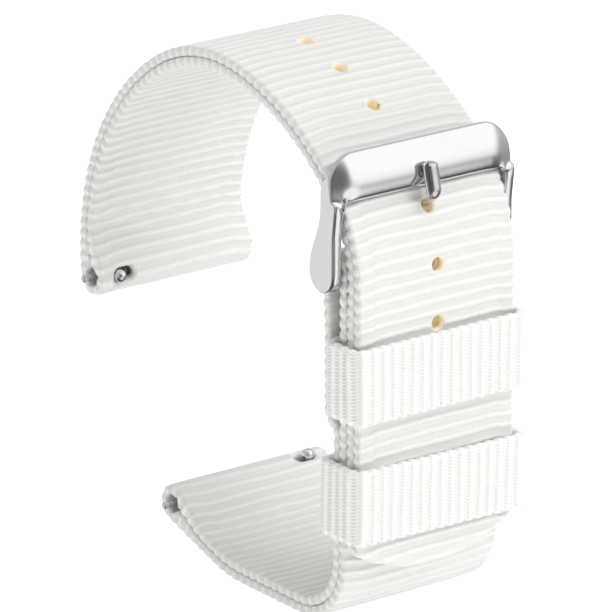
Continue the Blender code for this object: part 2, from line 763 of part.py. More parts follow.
def make_spring(name, centre, tube_end, parts):
    """The spring between a bar's two heads, a helix along X."""
    reach = tube_end - TUBE_LIP - HEAD_LENGTH - 2 * BAR_GAP - WIRE_RADIUS
    count = SPRING_TURNS * COIL_POINTS
    points = []
    for index in range(count + 1):
        angle = 2 * math.pi * index / COIL_POINTS
        x = -reach + 2 * reach * index / count
        points.append((x, SPRING_RADIUS * math.cos(angle), SPRING_RADIUS * math.sin(angle)))
    at = Matrix.Translation(Vector((0.0, *centre)))
    spring = wire_solid(name, points, WIRE_RADIUS, at, parts)
    paint_steel(spring)


def make_knob(name, frame, hand, parts):
    """A release knob: a ball on a neck that rises from the plunger through the tube's slot."""
    top = LOOP_RADIUS + KNOB_PROUD
    middle = top - KNOB_RADIUS
    foot = HEAD_RADIUS + BAR_GAP
    meet = math.degrees(math.acos(KNOB_NECK_RADIUS / KNOB_RADIUS))
    steps = ROUND_STEPS // 2
    ball = round_points((0.0, middle), KNOB_RADIUS, 90.0, -meet, steps)
    profile = [(0.0, top)] + ball[1:] + [(KNOB_NECK_RADIUS, foot), (0.0, foot)]
    at = Matrix.Translation(Vector((knob_place(hand), 0.0, 0.0)))
    knob = turned_solid(name, profile, frame @ at, parts)
    paint_steel(knob)


def make_release_bar(name, centre, frame, hand, parts, cutters):
    """A quick-release bar: tube, spring, fixed tip, and a plunger with its knob on one hand."""
    tube = turned_solid(name + "_tube", tube_profile(RELEASE_TUBE_END), across(centre), parts, closed=True)
    slot_reach = KNOB_NECK_RADIUS + BAR_GAP
    slot = travel_slot(
        name + "_slot", slot_reach, TUBE_BORE - TUBE_WALL, TUBE_RADIUS + CUT_OVERRUN, frame, hand, cutters
    )
    combine(tube, slot, "DIFFERENCE")
    paint_steel(tube)
    make_spring(name + "_spring", centre, RELEASE_TUBE_END, parts)
    make_tip(name + "_fixed_tip", centre, RELEASE_TIP_END, RELEASE_TUBE_END, -hand, parts)
    make_tip(name + "_plunger", centre, RELEASE_TIP_END, RELEASE_TUBE_END, hand, parts)
    make_knob(name + "_knob", frame, hand, parts)


def make_buckle_bar(parts):
    """The buckle's bar: tube, spring and two sprung tips that sit in the arms."""
    tube = turned_solid(
        "buckle_bar_tube", tube_profile(RELEASE_TUBE_END), across(BUCKLE_BAR), parts, closed=True
    )
    paint_steel(tube)
    make_spring("buckle_bar_spring", BUCKLE_BAR, RELEASE_TUBE_END, parts)
    make_tip("buckle_bar_tip_right", BUCKLE_BAR, BUCKLE_TIP_END, RELEASE_TUBE_END, 1, parts)
    make_tip("buckle_bar_tip_left", BUCKLE_BAR, BUCKLE_TIP_END, RELEASE_TUBE_END, -1, parts)


def main():
    """Build the whole strap."""
    clear_scene()
    parts = new_collection("watch_strap")
    cutters = new_collection("cutters")
    make_long_strap(parts, cutters)
    make_short_strap(parts, cutters)
    fixed_back = SHORT_FACE + LAYER + SEAT_GAP + KEEPER_LAYER
    make_keeper("fixed_keeper", FIXED_KEEPER_HEIGHT, fixed_back, parts)
    floating_back = SHORT_FACE + THICKNESS + SEAT_GAP + KEEPER_LAYER
    make_keeper("floating_keeper", FLOATING_KEEPER_HEIGHT, floating_back, parts)
    make_buckle_frame(parts, cutters)
    make_tongue(parts, cutters)
    make_buckle_bar(parts)
    upper = knob_frame(UPPER_BAR, LONG[-1][3], 1)
    make_release_bar("upper_bar", UPPER_BAR, upper, -1, parts, cutters)
    lower = knob_frame(LOWER_BAR, SHORT[-1][3], -1)
    make_release_bar("lower_bar", LOWER_BAR, lower, 1, parts, cutters)
    bpy.context.view_layer.update()


main()
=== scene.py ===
"""Nylon watch strap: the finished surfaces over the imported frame, laid out as a Blender add-on.

Lengths are in metres and angles in degrees, apart from the keeper's tilt, which Blender keeps in radians.
X runs across the strap, the buckle faces -Y, and Z = 0 is the surface that the strap stands on. A heading
is a direction in the side view, from +Z towards +Y.
"""
import math
from collections import Counter

import bmesh
import bpy
import numpy as np
from bpy.props import FloatProperty, FloatVectorProperty, PointerProperty
from mathutils import Matrix, Vector


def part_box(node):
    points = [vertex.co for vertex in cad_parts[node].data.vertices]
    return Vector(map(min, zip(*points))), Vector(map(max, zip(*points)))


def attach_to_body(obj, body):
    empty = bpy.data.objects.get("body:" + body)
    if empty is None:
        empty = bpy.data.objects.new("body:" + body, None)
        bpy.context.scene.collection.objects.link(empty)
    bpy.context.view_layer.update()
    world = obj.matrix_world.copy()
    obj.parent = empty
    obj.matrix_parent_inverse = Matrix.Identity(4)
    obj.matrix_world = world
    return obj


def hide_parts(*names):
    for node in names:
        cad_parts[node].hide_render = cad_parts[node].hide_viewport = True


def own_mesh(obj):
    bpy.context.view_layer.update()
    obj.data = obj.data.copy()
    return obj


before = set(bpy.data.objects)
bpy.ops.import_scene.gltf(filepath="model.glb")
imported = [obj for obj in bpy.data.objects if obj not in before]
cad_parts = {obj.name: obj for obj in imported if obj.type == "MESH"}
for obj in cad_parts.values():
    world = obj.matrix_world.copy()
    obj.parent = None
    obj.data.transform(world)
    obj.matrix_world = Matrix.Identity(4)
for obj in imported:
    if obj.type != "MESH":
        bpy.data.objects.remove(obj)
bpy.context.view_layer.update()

bl_info = {
    "name": "Nylon watch strap",
    "version": (1, 0, 0),
    "blender": (4, 5, 0),
    "location": "View3D > Sidebar > Watch strap",
    "description": "Builds a ribbed nylon watch strap with its buckle, keepers and sprung bars",
    "category": "Add Mesh",
}

# Webbing, as in the part's source
STRAP_WIDTH = 0.0220
HALF_WIDTH = STRAP_WIDTH / 2
LAYER = 0.00115
THICKNESS = 2 * LAYER
SEAT_GAP = 0.0003
SWELL_RUN = 0.0070

# Long half, from the tail's tip to the upper bar; its bends are (radius, turn)
BUCKLE_BAR_HEIGHT = 0.04265
BEND_BELOW_BAR = 0.00125
TAIL_TIP_HEIGHT = 0.0068
TAIL_TIP_RISE = 0.0036
TAIL_RUN = BUCKLE_BAR_HEIGHT - BEND_BELOW_BAR - TAIL_TIP_HEIGHT
LONG_TURNS = [(0.0150, 41.0), (0.0335, 38.5), (0.0223, 40.0), (0.0315, 66.5)]
HOLE_PITCH = 0.0068
HOLES_BELOW_TONGUE = 3
HOLES_ABOVE_TONGUE = 4
TONGUE_HOLE_PAST_BEND = 0.0078
TONGUE_HOLE_RUN = TAIL_RUN + TONGUE_HOLE_PAST_BEND

# Short half, from the buckle's bar to the lower bar
CORNER_RADIUS = 0.0085
FLAT_RUN = 0.0109
HEEL_RADIUS = 0.0200
HEEL_TURN = 18.0
HEEL_RUN = 0.0086
LAYERS_MEET_RUN = 0.0022

# Keepers
KEEPER_LAYER = 0.00105
KEEPER_WIDTH = 0.0088
KEEPER_CORNER_RADIUS = 0.0015
FIXED_KEEPER_DROP = 0.01225
FIXED_KEEPER_HEIGHT = BUCKLE_BAR_HEIGHT - FIXED_KEEPER_DROP
SLOT_RUN = FIXED_KEEPER_DROP + KEEPER_WIDTH / 2 + SEAT_GAP
LAYERS_MEET_HEIGHT = BUCKLE_BAR_HEIGHT - SLOT_RUN - LAYERS_MEET_RUN
FLOATING_KEEPER_HEIGHT = (CORNER_RADIUS + LAYERS_MEET_HEIGHT) / 2

# Sprung bars
TUBE_RADIUS = 0.00075
TUBE_WALL = 0.00015
TUBE_LIP = 0.0003
BAR_GAP = 0.00008
HEAD_RADIUS = 0.00050
HEAD_LENGTH = 0.0030
TIP_RADIUS = 0.00040
TIP_BEYOND_STRAP = 0.0012
TUBE_INSIDE_STRAP = 0.0008
RELEASE_TIP_END = HALF_WIDTH + TIP_BEYOND_STRAP
RELEASE_TUBE_END = HALF_WIDTH - TUBE_INSIDE_STRAP
RELEASE_TRAVEL = 0.0013
BUCKLE_TIP_TRAVEL = 0.0009
WIRE_RADIUS = 0.00010
SPRING_TURNS = 11
SPRING_RADIUS = TUBE_RADIUS - TUBE_WALL - BAR_GAP - WIRE_RADIUS
SPRING_REACH = RELEASE_TUBE_END - TUBE_LIP - HEAD_LENGTH - 2 * BAR_GAP - WIRE_RADIUS
LOOP_RADIUS = TUBE_RADIUS + SEAT_GAP + LAYER
PARTED_THICKNESS = 2 * LAYER + KEEPER_LAYER + 2 * SEAT_GAP

# Quick-release knobs
KNOB_RADIUS = 0.00075
KNOB_NECK_RADIUS = 0.00033
KNOB_FROM_EDGE = 0.0027
KNOB_PLACE = HALF_WIDTH - KNOB_FROM_EDGE
KNOB_PROUD = 0.00065

# Buckle frame
FRAME_SIDE_GAP = 0.0004
ARM_THICKNESS = 0.0013
ARM_INNER = HALF_WIDTH + FRAME_SIDE_GAP
ARM_OUTER = ARM_INNER + ARM_THICKNESS
ARM_END_RADIUS = 0.0023
ARM_NECK_WIDTH = 0.0026
ARM_NECK_RISE = 0.0075
ARM_BEHIND_PLATE = 0.0003
ARM_JOIN_SHARE = 0.60
ARM_SHOULDER_SHARE = 1.28
BAR_SOCKET_DEPTH = 0.0008
BUCKLE_TIP_END = ARM_INNER + BAR_SOCKET_DEPTH - SEAT_GAP / 2
PLATE_HEIGHT = 0.0060
PLATE_THICKNESS = 0.0010
PLATE_TILT = 19.4
PLATE_CROWN = 0.00045
PLATE_CORNER_RADIUS = 0.0036
PLATE_FOOT_RUN = 0.0019

# Tongue
TONGUE_COLLAR_WALL = 0.0005
TONGUE_COLLAR_WIDTH = 0.0018
TONGUE_SHANK_WIDTH = 0.0009
TONGUE_THICKNESS = 0.0006
TONGUE_HEAD_WIDTH = 0.0019
TONGUE_HEAD_THICKNESS = 0.0012
TONGUE_REACH = 0.0026
TONGUE_STANDOFF = 0.00105
TONGUE_HIGH_IN_HOLE = 0.0003
TONGUE_SLOT_WIDTH = 0.0024
TONGUE_SLOT_RADIUS = TONGUE_SLOT_WIDTH / 2

# Finish of the webbing, which the solids don't have
LAYERS_APART = 0.00001
KEEPER_TRIM = 0.00004
HALVES_FILL = SEAT_GAP * 0.4
SELVEDGE_PLACE = 0.0090
SELVEDGE_SHIFT = 0.00012
SELVEDGE_FADE = 0.0003
SELVEDGE_BULGE_POWER = 0.42
SELVEDGE_LEVEL_POWER = 0.8
BEAD_POWER = 0.8
RIB_BOW = 0.00019
RIB_BOW_START_SHARE = 0.55
STRAY_REACH = 0.00013
RAGGED_PAST_KNOB = 0.0068
RAGGED_REACH = 0.0028
TIP_FADE_RUN = 0.0080
TAIL_FILL_START = 0.0030
TAIL_FILL_FADE = 0.0020

# The weave's unevenness as waves: (height, radians per rib, radians per metre across)
RIB_DRIFT = ((0.00004, 1.7, 310.0), (0.00003, 0.61, -540.0))
RIB_STRAY = ((1.0, 2.9, 1150.0), (0.7, -4.3, 2300.0))
RIB_LUMPS = ((0.25, 2.4, 1500.0), (0.2, -5.1, 700.0))
LUMPS_LEVEL = 0.55

# Openings: ribs are pressed to an even height round them, and their rims stand at one phase of a rib
CALM_REACH = 0.0005
CALM_FORM = 0.55
PUNCH_REACH = 0.0012
RIM_PHASE = 0.25
SLOT_SINGE = 0.6

# Where a keeper's cross yarns bite: their lean, and the places and reach of the bites within a rib
NOTCH_LEAN = 0.3
NOTCH_PLACES = (0.17, 0.83)
NOTCH_REACH = 0.13
NOTCH_LOW_SHARE = 0.45

# Spacing of the webbing's vertices: along its course, across it, and the rows' places within a rib
STATION_STEP = 0.0002
NEAREST_SAMPLES = 8000
TIP_ROWS_PER_RIB = 12
FOLD_STEPS = 36
SPARE_STEP = 0.0006
HOLE_COLUMNS_END = 0.0014
HOLE_COLUMN_STEP = 0.00024
KNOB_COLUMNS_START = 0.0058
KNOB_COLUMNS_END = 0.0094
KNOB_COLUMN_STEP = 0.00033
FACE_COLUMN_STEP = 0.00075
FACE_EDGE_STEP = 0.00045
BACK_COLUMN_STEP = 0.0022
BACK_EDGE_STEP = 0.0006
STRAP_ROW_SHARES = (0.0, 0.24, 0.37, 0.5, 0.63, 0.76)
KEEPER_ROW_SHARES = (0.0, 0.1, 0.19, 0.29, 0.5, 0.71, 0.81, 0.9)

# Finish of the buckle's frame
PLATE_END_ROUND = 0.00022
PLATE_BACK_ROUND = 0.00012
END_BEVEL_SOFT_SHARE = 0.14
END_BEVEL_SLOPE = 0.41
INNER_CORNER_REACH = 0.0016
FOOT_ROUND_FADE = 0.0009
COLUMN_STEP = 0.00002
SKINS_APART = 0.000005
ARM_FALL_SHARE = 0.88
PLATE_FALL_SHARE = 0.96
ARM_INNER_ROUND_SHARE = 0.7
PLATE_BACK_ROUND_SHARE = 0.8
TOP_SLOPE_LEAST = 0.15
PLATE_FADE_PLACE = 0.06
PLATE_FADE_RUN = 0.22
SIDE_PLATE_STEPS = 48
SIDE_ARM_STEPS = 40
SIDE_END_STEPS = 24
SHOULDER_SHARE = 0.30

# Finish of the tongue
TONGUE_HOLLOW_FACING = 154.0
TONGUE_HOLLOW_SPREAD = 24.0
TONGUE_LIP_TURN = 0.12
TONGUE_NEARER_PLATE = 0.0002
TONGUE_BEND_TRIM = 0.0011
TONGUE_CAP_RUN = 0.0006
TONGUE_GROW_EARLY = 0.0008
TONGUE_GROW_RUN = 0.0015
TONGUE_OPEN_EARLY = 0.0001
TONGUE_OPEN_RUN = 0.0008
TONGUE_BLUNT_SHARE = 0.12
COLLAR_CHAMFER = 0.00012

# Finish of the bars' tips and knobs
TIP_ROUND = 0.00014
TIP_GROOVE_BACK = 0.00062
TIP_GROOVE_DEPTH = 0.00005
TIP_GROOVE_BEVEL = 0.00006
TIP_GROOVE_WIDTH = 0.00022
KNOB_WAIST_SHARE = 0.92
KNOB_WAIST_RISE = 0.0005
KNOB_FOOT_RISE = 0.00006

# Depths of the materials' bumps
YARN_RELIEF = 0.00006
STEEL_RELIEF = 0.00001

# The photograph's camera
PICTURE_WIDTH = 612
PICTURE_SCALE = 6125.0
CAMERA_AZIMUTH = -37.0
CAMERA_ELEVATION = 19.0
CAMERA_DISTANCE = 0.700
CAMERA_TARGET = Vector((0.0, 0.0014, 0.0414))
ANCHOR = Vector((-0.0110, -0.02361, 0.0514))
ANCHOR_PIXEL = (345.0, 200.0)
SENSOR_WIDTH = 36.0


# The strap's course in the side view


def walk(start, heading, stretches, arc_step=1.5):
    """Stations (run, y, z, heading) along arcs and straights, each given as (length, turn)."""
    y, z = start
    run = 0.0
    stations = [(run, y, z, heading)]
    for length, turn in stretches:
        steps = max(1, math.ceil(abs(turn) / arc_step))
        half = math.radians(turn) / steps / 2
        chord = length / steps * (math.sin(half) / half if half else 1.0)
        for _ in range(steps):
            middle = math.radians(heading) + half
            y += chord * math.sin(middle)
            z += chord * math.cos(middle)
            heading += turn / steps
            run += length / steps
            stations.append((run, y, z, heading))
    return stations


def arc(radius, turn):
    """One stretch of a walk that turns by an angle at a radius."""
    return radius * math.radians(abs(turn)), turn


def station_at(stations, run):
    """The station at a run, between the two that it lies between."""
    for near, far in zip(stations, stations[1:]):
        if run <= far[0]:
            share = (run - near[0]) / (far[0] - near[0])
            return tuple(a + (b - a) * share for a, b in zip(near, far))
    return stations[-1]


def inwards(heading, side):
    """Unit vector (y, z) from the outer face of a strap half towards the wrist."""
    angle = math.radians(heading)
    return side * math.cos(angle), -side * math.sin(angle)


def beneath(station, depth, side):
    """The point a depth under the outer face at a station."""
    y_way, z_way = inwards(station[3], side)
    return station[1] + depth * y_way, station[2] + depth * z_way


def along(point, *moves):
    """A point of the side view moved by (direction, distance) pairs."""
    y, z = point
    for way, distance in moves:
        y += way[0] * distance
        z += way[1] * distance
    return y, z


def round_points(centre, radius, first, last, steps):
    """Points on a circle, with angles in degrees from the first axis towards the second."""
    angles = np.radians(np.linspace(first, last, steps + 1))
    return [(centre[0] + radius * math.cos(a), centre[1] + radius * math.sin(a)) for a in angles]


def ease(share):
    """Smooth change from 0 to 1 as a share goes from 0 to 1."""
    return (1 - np.cos(np.pi * np.clip(share, 0.0, 1.0))) / 2


def between(stations, step):
    """The stations of a walk with more of them, no further apart than a step."""
    runs = np.linspace(0.0, stations[-1][0], math.ceil(stations[-1][0] / step) + 1)
    table = np.array(stations)
    return [tuple(np.interp(run, table[:, 0], table[:, k]) for k in range(4)) for run in runs]


LONG = walk((0.0, TAIL_TIP_HEIGHT), 0.0, [(TAIL_RUN, 0.0)] + [arc(*turn) for turn in LONG_TURNS])
SHORT = walk(
    (THICKNESS + SEAT_GAP, BUCKLE_BAR_HEIGHT),
    180.0,
    [
        (BUCKLE_BAR_HEIGHT - CORNER_RADIUS, 0.0),
        arc(CORNER_RADIUS, -90.0),
        (FLAT_RUN, 0.0),
        arc(HEEL_RADIUS, -HEEL_TURN),
        (HEEL_RUN, 0.0),
    ],
)
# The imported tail's outer face is the long half's lowest Y
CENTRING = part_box("long_strap")[0].y
LONG = [(run, y + CENTRING, z, heading) for run, y, z, heading in LONG]
SHORT = [(run, y + CENTRING, z, heading) for run, y, z, heading in SHORT]
TAIL_FACE = CENTRING
SHORT_FACE = CENTRING + THICKNESS + SEAT_GAP
UPPER_BAR = beneath(LONG[-1], LOOP_RADIUS, 1)
LOWER_BAR = beneath(SHORT[-1], LOOP_RADIUS, -1)
BUCKLE_BAR = beneath(SHORT[0], LOOP_RADIUS, -1)


# Mesh helpers


def finish_mesh(name, shape, material, smooth_angle=None):
    """The finished piece from a bmesh: doubles merged, faces outwards, smooth shading, material."""
    bmesh.ops.remove_doubles(shape, verts=shape.verts, dist=1e-7)
    bmesh.ops.recalc_face_normals(shape, faces=shape.faces)
    for face in shape.faces:
        face.smooth = True
    mesh = bpy.data.meshes.new(name)
    shape.to_mesh(mesh)
    shape.free()
    if smooth_angle is not None:
        mesh.set_sharp_from_angle(angle=math.radians(smooth_angle))
    mesh.materials.append(material)
    piece = bpy.data.objects.new(name, mesh)
    bpy.context.scene.collection.objects.link(piece)
    return piece


def attach(piece, body, slot, *nodes):
    """Let a piece ride on its body, in place of CAD nodes, with its material slot."""
    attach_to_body(piece, body)
    if nodes:
        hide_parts(*nodes)


def grid(columns, rows):
    """A bmesh grid and, for each of its vertices, its column and row."""
    shape = bmesh.new()
    bmesh.ops.create_grid(shape, x_segments=columns, y_segments=rows, size=1.0)
    places = np.array([vert.co[:2] for vert in shape.verts])
    column = np.rint((places[:, 0] + 1) / 2 * columns).astype(int)
    row = np.rint((places[:, 1] + 1) / 2 * rows).astype(int)
    return shape, column, row


def loft(rings, caps=True):
    """A skin through rings of points, closed round each ring and over both ends."""
    points = np.array(rings)
    shape, column, row = grid(points.shape[1], points.shape[0] - 1)
    for vert, i, j in zip(shape.verts, column, row):
        vert.co = points[j, i % points.shape[1]]
    bmesh.ops.remove_doubles(shape, verts=shape.verts, dist=1e-7)
    if caps:
        open_edges = [edge for edge in shape.edges if edge.is_boundary]
        bmesh.ops.holes_fill(shape, edges=open_edges, sides=0)
    return shape


def prism(outline, depth, matrix):
    """A solid from a flat outline, as deep as given about its plane."""
    shape = bmesh.new()
    bmesh.ops.create_circle(shape, cap_ends=True, segments=len(outline), radius=1.0)
    for vert, point in zip(shape.verts, outline):
        vert.co = (*point, -depth / 2)
    made = bmesh.ops.extrude_face_region(shape, geom=shape.faces[:])["geom"]
    moved = [thing for thing in made if isinstance(thing, bmesh.types.BMVert)]
    bmesh.ops.translate(shape, vec=(0.0, 0.0, depth), verts=moved)
    bmesh.ops.recalc_face_normals(shape, faces=shape.faces)
    bmesh.ops.transform(shape, matrix=matrix, verts=shape.verts)
    return shape


def spun(profile, matrix, steps=32):
    """A turned solid from (radius, height) points, about the matrix's Z axis."""
    shape = bmesh.new()
    verts = [shape.verts.new((radius, 0.0, height)) for radius, height in profile]
    for low, high in zip(verts, verts[1:]):
        shape.edges.new((low, high))
    bmesh.ops.spin(
        shape,
        geom=shape.verts[:] + shape.edges[:],
        cent=(0.0, 0.0, 0.0),
        axis=(0.0, 0.0, 1.0),
        angle=2 * math.pi,
        steps=steps,
        use_merge=True,
    )
    bmesh.ops.remove_doubles(shape, verts=shape.verts, dist=1e-7)
    bmesh.ops.transform(shape, matrix=matrix, verts=shape.verts)
    return shape


def scratch_object(name, shape):
    """A throwaway object for cutting."""
    mesh = bpy.data.meshes.new(name)
    shape.to_mesh(mesh)
    shape.free()
    thing = bpy.data.objects.new(name, mesh)
    bpy.context.scene.collection.objects.link(thing)
    return thing


def cut_together(first, steps):
    """The bmesh that is left of a first shape after (operation, shape) steps."""
    body = scratch_object("cut_body", first)
    others = []
    for operation, shape in steps:
        other = scratch_object("cut_tool", shape)
        others.append(other)
        change = body.modifiers.new("cut", "BOOLEAN")
        change.operation = operation
        change.solver = "EXACT"
        change.object = other
    graph = bpy.context.evaluated_depsgraph_get()
    mesh = bpy.data.meshes.new_from_object(body.evaluated_get(graph))
    result = bmesh.new()
    result.from_mesh(mesh)
    for thing in [body] + others:
        old = thing.data
        bpy.data.objects.remove(thing)
        bpy.data.meshes.remove(old)
    bpy.data.meshes.remove(mesh)
    return result


def rounded_box(low, high, radius, steps=8):
    """A rectangle's outline with round corners."""
    right, left = high[0] - radius, low[0] + radius
    top, bottom = high[1] - radius, low[1] + radius
    points = []
    for turn, centre in enumerate(((right, top), (left, top), (left, bottom), (right, bottom))):
        points += round_points(centre, radius, turn * 90.0, (turn + 1) * 90.0, steps)
    return points


# Webbing


class Course:
    """A closed run of webbing, given by the middle of its thickness and measured along itself."""

    def __init__(self, points, rib_pitch):
        self.loop = np.array(points + points[:1])
        lengths = np.hypot(*np.diff(self.loop, axis=0).T)
        self.runs = np.concatenate(([0.0], np.cumsum(lengths)))
        self.length = self.runs[-1]
        self.ribs = round(self.length / rib_pitch)
        self.pitch = self.length / self.ribs
        first, second = self.loop[:-1], self.loop[1:]
        area = np.sum(first[:, 0] * second[:, 1] - second[:, 0] * first[:, 1])
        self.turn = 1.0 if area > 0 else -1.0

    def at(self, run):
        """Point (first axis, second axis) at each run."""
        run = np.mod(run, self.length)
        return np.interp(run, self.runs, self.loop[:, 0]), np.interp(run, self.runs, self.loop[:, 1])

    def out(self, run, reach=0.00012):
        """Unit direction out of the course at each run."""
        back_a, back_b = self.at(run - reach)
        front_a, front_b = self.at(run + reach)
        way_a, way_b = front_a - back_a, front_b - back_b
        size = np.hypot(way_a, way_b)
        return self.turn * way_b / size, -self.turn * way_a / size

    def nearest(self, point):
        """The run whose point lies nearest to a given one."""
        runs = np.linspace(0.0, self.length, NEAREST_SAMPLES)
        a, b = self.at(runs)
        return runs[np.argmin((a - point[0]) ** 2 + (b - point[1]) ** 2)]


def waves(parts, across, rib):
    """A sum of waves over places across and rib numbers."""
    return sum(height * np.sin(across * per_metre + rib * per_rib) for height, per_rib, per_metre in parts)


class Webbing:
    """A ribbed ribbon laid along a course, with its width along a third axis.

    An opening is its middle across, run, radius, reach across, reach along, and how singed its rim is.
    """

    def __init__(self, course, half_width, thickness, columns, row_shares, sizes, place, openings=()):
        self.course = course
        self.half = half_width
        self.thick = thickness
        self.row_shares = row_shares
        self.sizes = sizes
        self.place = place
        self.openings = openings
        self.section(*(np.array(places) for places in columns))
        self.build()
        for opening in openings:
            self.punch(*opening)

    def section(self, face, back):
        """The ribbon's section: places across, offsets outwards, and the ribs' way, height and form."""
        radius = self.thick / 2
        flat = self.half - radius
        turn = np.radians(np.linspace(90.0, -90.0, 7))[1:-1]
        bulge = radius * np.cos(turn) ** SELVEDGE_BULGE_POWER
        level = radius * np.sign(turn) * np.abs(np.sin(turn)) ** SELVEDGE_LEVEL_POWER
        across = np.concatenate([face, flat + bulge, back[::-1], -flat - bulge[::-1]])
        lift = np.concatenate([np.full(len(face), radius), level, np.full(len(back), -radius), level[::-1]])
        self.across, self.lift = across, lift
        # Outer face, right edge, inner face and left edge
        counts = (len(face), len(turn), len(back), len(turn))
        edge, roundness = self.sizes["edge_height"], self.sizes["roundness"]
        self.way_x = np.repeat((0.0, 1.0, 0.0, -1.0), counts)
        self.side = np.repeat((1.0, 0.0, -1.0, 0.0), counts)
        self.height = np.repeat((self.sizes["rib_height"], edge, 0.0, edge), counts)
        self.power = np.repeat((roundness, 1.0, roundness, 1.0), counts)
        # Length round the section, for the yarns' pattern
        steps = np.hypot(np.diff(across, append=across[0]), np.diff(lift, append=lift[0]))
        self.around = np.concatenate(([0.0], np.cumsum(steps)))

    def wander(self, across, rib):
        """How far a rib runs off the straight line across, in metres."""
        outer_share = (np.abs(across) / self.half - RIB_BOW_START_SHARE) / (1 - RIB_BOW_START_SHARE)
        bow = self.sizes["bow"] * ease(outer_share) ** 2
        shift = self.sizes["selvedge_shift"] * ease((np.abs(across) - SELVEDGE_PLACE) / SELVEDGE_FADE + 0.5)
        return -bow - shift + waves(RIB_DRIFT, across, rib)

    def ragged(self, across, run):
        """How ragged the ribs are at a place, as a share."""
        centre = self.sizes.get("ragged")
        if centre is None:
            return np.zeros_like(run)
        away = np.abs(self.gap(run, centre))
        patch = 0.5 + 0.5 * np.sin(across * 900.0 + 2.2 * np.sin(across * 410.0 + centre * 900.0))
        return (1 - ease(away / RAGGED_REACH)) * (0.45 + 0.55 * patch)

    def surface(self, across, lift, way_x, side, height, run, rib, power=1.0):
        """Points of the ribbon's skin, from places of its section, runs and rib numbers."""
        phase = np.mod(rib, 1.0)
        level = self.sizes["crest_share"] / 2 - np.abs(phase - 0.5)
        pressed = ease(level / self.sizes["flank"] + 0.5)
        beaded = np.sin(np.pi * phase) ** BEAD_POWER
        form = pressed * (1 - power) + power * beaded
        ragged = self.ragged(across, run)
        form = form * (1 - ragged) + ragged * form * (LUMPS_LEVEL + waves(RIB_LUMPS, across, rib))
        for middle, centre, radius, reach_x, reach_run, _ in self.openings:
            away = capsule_distance(across - middle, self.gap(run, centre), reach_x, reach_run)
            clear = ease((away - radius) / CALM_REACH)
            form = form * clear + CALM_FORM * (1 - clear)
        rise = height * (form - 0.5) + height * 0.5 * (form - 1)
        teeth = self.sizes.get("teeth")
        if teeth:
            rise = rise - teeth(across, phase) * (side > 0)
        a, b = self.course.at(run)
        out_a, out_b = self.course.out(run)
        inner = 1 + self.padding(run, a, b, out_a, out_b) / (self.thick / 2)
        outer = 1 + self.plump(run) / (self.thick / 2)
        lift = np.where(lift < 0, lift * inner, lift * outer)
        offset = lift + rise * side
        b = b + self.tip_shift(across, run)
        return self.place(across + rise * way_x, a + out_a * offset, b + out_b * offset)

    def padding(self, run, a, b, out_a, out_b):
        """How much thicker the layer is on its inner side, where it closes up to the tunnel of a bar."""
        bar = self.sizes.get("bar")
        if bar is None:
            return np.zeros_like(run)
        to_a, to_b = bar[0] - a, bar[1] - b
        level = -(to_a * out_a + to_b * out_b)
        aside = np.hypot(to_a, to_b) ** 2 - level**2
        tunnel = TUBE_RADIUS + SEAT_GAP
        hit = level - np.sqrt(np.maximum(tunnel**2 - aside, 0.0))
        room = np.where(aside < tunnel**2, hit, level) - self.thick / 2 - BAR_GAP / 2
        near = np.hypot(to_a, to_b) < SWELL_RUN * 1.05
        spare = np.interp(np.mod(run, self.course.length), self.sizes["spare"][0], self.sizes["spare"][1])
        return np.where(near, np.clip(np.minimum(room, spare), 0.0, None), 0.0)

    def plump(self, run):
        """How much thicker the layer is on its outer side, where it lies against the other half."""
        stretch = self.sizes.get("against")
        if stretch is None:
            return np.zeros_like(run)
        first, last = stretch
        run = np.mod(run, self.course.length)
        return HALVES_FILL * ease((run - first) / TAIL_FILL_FADE) * ease((last - run) / TAIL_FILL_FADE)

    def gap(self, run, centre):
        """Signed way along the course from a centre."""
        length = self.course.length
        return np.mod(run - centre + length / 2, length) - length / 2

    def row_list(self):
        """Rib coordinates of the rows, with more of them where ribs are cut short."""
        ribs = [rib + share for rib in range(self.course.ribs) for share in self.row_shares]
        if "tip_rise" in self.sizes:
            dense = TIP_FADE_RUN / self.course.pitch
            keep = [rib for rib in ribs if dense < rib < self.course.ribs - dense]
            count = int(dense * TIP_ROWS_PER_RIB)
            low = list(np.linspace(0.0, dense, count, endpoint=False))
            high = list(np.linspace(self.course.ribs - dense, self.course.ribs, count + 1)[1:-1])
            ribs = low + keep + high
        return np.array(ribs + [float(self.course.ribs)])

    def build(self):
        """Lay the grid of vertices along the course."""
        rows = self.row_list()
        count = len(self.across)
        shape, column, row = grid(count, len(rows) - 1)
        layer = shape.loops.layers.uv.new("weave")
        self.singe = shape.verts.layers.float.new("singe")
        col = column % count
        rib = rows[row]
        across = self.across[col]
        # The last row lies on the first one, so it must wander as that one does
        once = np.mod(rib, self.course.ribs)
        run = rib * self.course.pitch + self.wander(across, once)
        run = run + self.sizes["stray"] * waves(RIB_STRAY, across, once) * self.ragged(across, run)
        true_rib = rib + self.tip_shift(across, run) * self.tip_way(run) / self.course.pitch
        points = self.surface(
            across, self.lift[col], self.way_x[col], self.side[col], self.height[col], run, true_rib,
            self.power[col],
        )
        self.shape = shape
        self.verts = shape.verts[:]
        for vert, point in zip(self.verts, points):
            vert.co = point
        self.vert_across, self.vert_run = across, run
        self.vert_side, self.vert_lift = self.side[col], self.lift[col]
        around = self.around[column] / self.sizes["yarn_pitch"]
        self.number = {vert: i for i, vert in enumerate(self.verts)}
        for face in shape.faces:
            for corner in face.loops:
                i = self.number[corner.vert]
                corner[layer].uv = (around[i], true_rib[i])
        bmesh.ops.remove_doubles(shape, verts=shape.verts, dist=1e-7)

